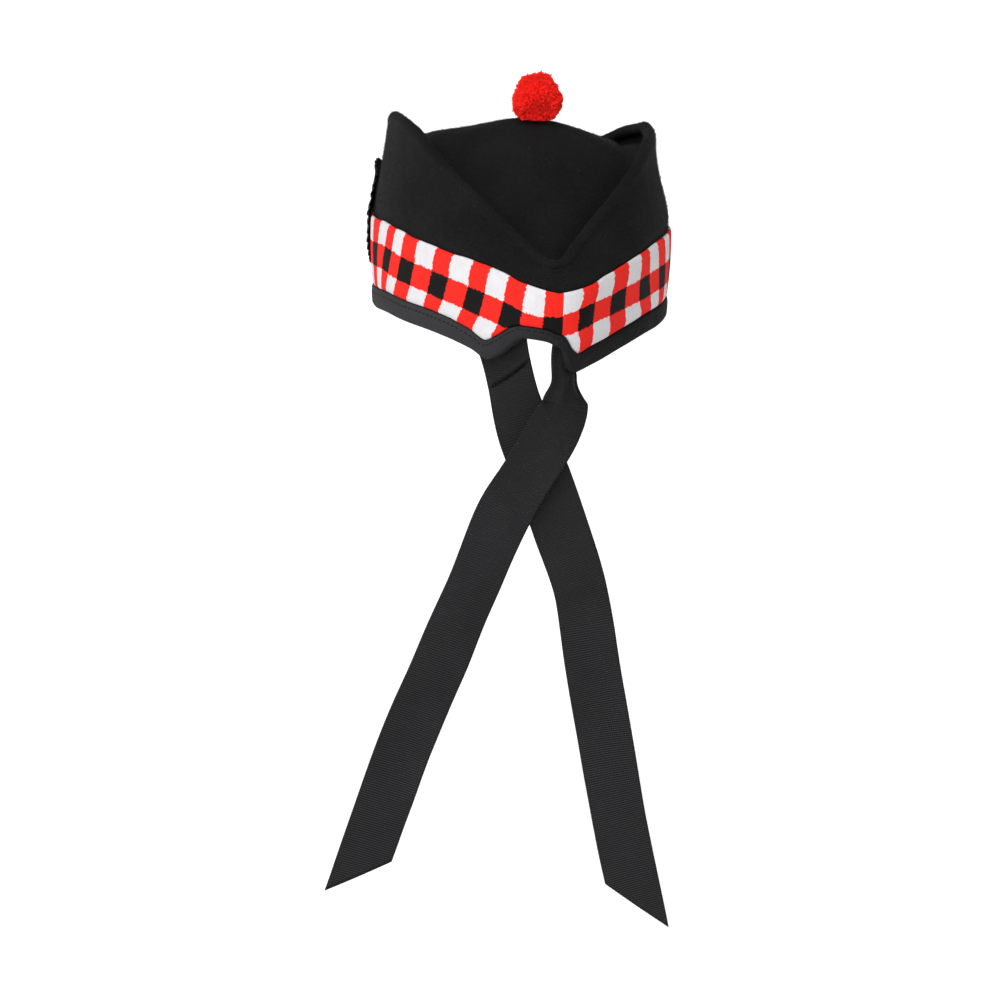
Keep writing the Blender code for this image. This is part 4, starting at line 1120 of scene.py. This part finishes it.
# a gathered oval of ribbon that lies on the wearer's left, with a covered button in its middle
rosette = {
    "height": 0.056,
    "width": 0.049,
    "pleats": 34,
    "place": 1.22,
    "middle": 0.0455,
    "lift": (0.0030, 0.0014),    # over the band and above it
    "rows": 26,
    "fold": 0.0009,
    "flutter": 0.0003,
    "topOut": 0.0014,            # how far its top is turned out
    "ribbon": 0.0275,
    "thickness": 0.0005,
    "button": 0.0011,
    "buttonRadius": 0.0068,
    "buttonLift": 0.0012,
    "buttonTurns": 48,
}
buttonRows = (
    ("share", "height"),
    (0.0, 1.0), (0.35, 0.95), (0.6, 0.82), (0.8, 0.62), (0.93, 0.38), (1.0, 0.1), (1.0, -0.35),
)


# pleats and button are drawn flat, in metres along the side and up it, and then laid on the outer wall
def makeRosette():
    left = np.flatnonzero((body["place"] >= 0.7) & (body["place"] <= 1.8))
    grid, out = wallGrid[left], wallNormal[left]
    along = runLength(grid[:, 24])
    along -= np.interp(rosette["place"], body["place"][left], along)
    levels = np.linspace(0, 0.105, 211)
    runs = runLength(grid)
    sheets = [np.array([slide(levels, run, line) for run, line in zip(runs, lines)])
              for lines in (grid, out)]

    def lay(a, h, off):
        i = np.interp(a, along, np.arange(len(left)))
        j = np.interp(h, levels, np.arange(len(levels)))
        i0 = np.clip(i.astype(int), 0, len(left) - 2)
        j0 = np.clip(j.astype(int), 0, len(levels) - 2)
        fi, fj = (i - i0)[..., None], (j - j0)[..., None]
        spot, away = (
            (data[i0, j0] * (1 - fi) + data[i0 + 1, j0] * fi) * (1 - fj)
            + (data[i0, j0 + 1] * (1 - fi) + data[i0 + 1, j0 + 1] * fi) * fj for data in sheets)
        return spot + unit(away) * off[..., None]

    n, rows = rosette["pleats"] * 12, rosette["rows"]
    angle = evenTurns(n)[:, None]
    share = np.linspace(0.16, 1.0, rows)[None]
    phase = (angle * rosette["pleats"] / (2 * math.pi)) % 1
    fold = np.where(phase < 0.72, phase / 0.72, (1 - phase) / 0.28)
    rim = 1 + (0.035 * fold - 0.02) * ease(0.7, 1.0, share) + 0.012 * np.sin(angle * 5 + 0.7)
    a = np.cos(angle) * rosette["width"] / 2 * share * rim
    h = rosette["middle"] + np.sin(angle) * rosette["height"] / 2 * share * rim
    low, high = rosette["lift"]
    lift = low + (high - low) * ease(0.047, 0.054, h) + 0.0005 * (1 - share)
    depth = 0.0003 + rosette["fold"] * share ** 0.6
    flutter = rosette["flutter"] * (1 + np.sin(angle * 7 + 1)) * ease(0.75, 1.0, share)
    topOut = rosette["topOut"] * ease(0.8, 1.0, share) * ease(0.82, 1.0, np.sin(angle))
    faces, marks = quads(n, rows, True, False)
    around = np.linspace(0, 2 * math.pi, n + 1)
    measure = rosette["ribbon"] * np.stack(np.broadcast_arrays(share, around[:, None]), -1)
    piece = makePiece("cockade", lay(a, h, lift + depth * fold + flutter + topOut), faces, grosgrain,
                      "cockade", layers={"measure": measure}, marks=[marks])
    thicken(piece, rosette["thickness"])

    # the button: a low dome over the middle of the pleats
    turns, radius = rosette["buttonTurns"], rosette["buttonRadius"]
    turn = evenTurns(turns)[:, None]
    share, tall = column(buttonRows, "share"), column(buttonRows, "height")
    rows = len(share)
    dome = lay(np.cos(turn) * radius * share, rosette["middle"] + np.sin(turn) * radius * share,
               low + rosette["buttonLift"] + rosette["button"] * np.broadcast_to(tall, (turns, rows)))
    faces, marks = quads(turns, rows, True, False)
    around = np.linspace(0, 0.04, turns + 1)
    measure = np.stack(np.broadcast_arrays(share * radius, around[:, None]), -1)
    floor = np.arange(turns)[::-1] * rows + rows - 1
    makePiece("cockadeButton", dome, [faces, floor[None]], grosgrain,
              layers={"measure": measure}, marks=[marks, 0 * floor[None]])


makeRosette()


# almost even pale grey that glows: weakly where the floor is flat, fully up its rim
def surfaceLook(name, colour, rough):
    look = Look(name)
    at = look.place()
    high = look.split(at)[2]
    look.feed("Base Color", look.mix(look.noise(at, 3.0), colour, tuple(c * 0.97 for c in colour)))
    look.feed("Roughness", rough)
    look.feed("Emission Color", look.mix(high.between(-0.334, -0.1), (0.4, 0.4, 0.4), (1.0, 1.0, 1.0)))
    look.feed("Emission Strength", 0.5)
    return look


stage = {
    "height": -0.335,
    "turns": 96,
    "flat": (0.2, 1.0, 4.0),     # radii
    "bendStart": 6.5,
    "bendRadius": 1.2,
    "bendAngle": 80,             # degrees
    "rim": (8.0, 2.0),           # radius and height
}


# a flat round floor with an upturned rim
def makeStage():
    bend = np.radians(np.linspace(0, stage["bendAngle"], 9))
    flat, size, rim = stage["flat"], stage["bendRadius"], stage["rim"]
    radius = np.concatenate([flat, stage["bendStart"] + size * np.sin(bend), rim[:1]])[:, None]
    height = np.concatenate([np.zeros(len(flat)), size * (1 - np.cos(bend)), rim[1:]])[:, None]
    height = height + stage["height"]
    turn = evenTurns(stage["turns"])
    points = np.stack([radius * np.cos(turn), radius * np.sin(turn), height + 0 * turn], -1)
    faces, _ = quads(*points.shape[:2], False, True)
    mesh = bpy.data.meshes.new("floor")
    mesh.from_pydata(points.reshape(-1, 3).tolist(), [], faces.tolist() + [list(range(len(turn)))])
    mesh.polygons.foreach_set("use_smooth", np.ones(len(mesh.polygons), bool))
    mesh.materials.append(surfaceLook("pale floor", (0.93, 0.93, 0.93), 0.9).material)
    addObject("floor", mesh)


makeStage()

view = {
    "azimuth": 172.2,
    "elevation": 16.1,
    "roll": 2.6,
    "target": (0.0065, 0.0, -0.0985),
    "distance": 1.5,
    "focal": 2752.0,         # in pixels of a frame 1000 wide
    "sensor": 36.0,
}


def viewFrame():
    a, e, r = (math.radians(view[k]) for k in ("azimuth", "elevation", "roll"))
    back = np.array([math.sin(a) * math.cos(e), -math.cos(a) * math.cos(e), math.sin(e)])
    right = np.array([math.cos(a), math.sin(a), 0.0])
    upright = np.cross(back, right)
    return (right * math.cos(r) + upright * math.sin(r), upright * math.cos(r) - right * math.sin(r), back)


def makeCamera():
    right, upright, back = viewFrame()
    data = bpy.data.cameras.new("camera")
    data.sensor_width = view["sensor"]
    data.lens = view["focal"] / 1000 * view["sensor"]
    data.clip_end = 60
    camera = addObject("camera", data)
    place = np.array(view["target"]) + back * view["distance"]
    rows = [[right[k], upright[k], back[k], place[k]] for k in range(3)]
    camera.matrix_world = Matrix(rows + [[0, 0, 0, 1]])
    bpy.context.scene.camera = camera


# the sun stands for a broad softbox overhead: across to the right, up, towards the camera; width in degrees
lights = {
    "sun": (-0.22, 0.74, 0.62),
    "sunStrength": 4.1,
    "sunWidth": 55,
    "sky": 0.14,
    "glint": (-1.6, -0.10, 0.75),
    "glintWatts": 14.0,
    "glintSize": 0.6,
}


def makeLights():
    right, _, back = viewFrame()
    level = np.array([back[0], back[1], 0.0]) / math.hypot(back[0], back[1])
    target = np.array(view["target"])
    sun = bpy.data.lights.new("sun", "SUN")
    sun.energy, sun.angle = lights["sunStrength"], math.radians(lights["sunWidth"])
    glint = bpy.data.lights.new("glint", "AREA")
    glint.shape, glint.size, glint.energy = "SQUARE", lights["glintSize"], lights["glintWatts"]
    for data in (sun, glint):
        x, y, z = lights[data.name]
        away = right * x + up * y + level * z
        lamp = addObject(data.name, data)
        lamp.location = Vector(target + away)
        lamp.rotation_euler = Vector(away).to_track_quat("Z", "Y").to_euler()
    world = bpy.data.worlds.new("studio")
    bpy.context.scene.world = world
    world.use_nodes = True
    sky = world.node_tree.nodes["Background"]
    sky.inputs["Color"].default_value = (1, 1, 1, 1)
    sky.inputs["Strength"].default_value = lights["sky"]
    bpy.context.scene.view_settings.view_transform = "Standard"


makeCamera()
makeLights()
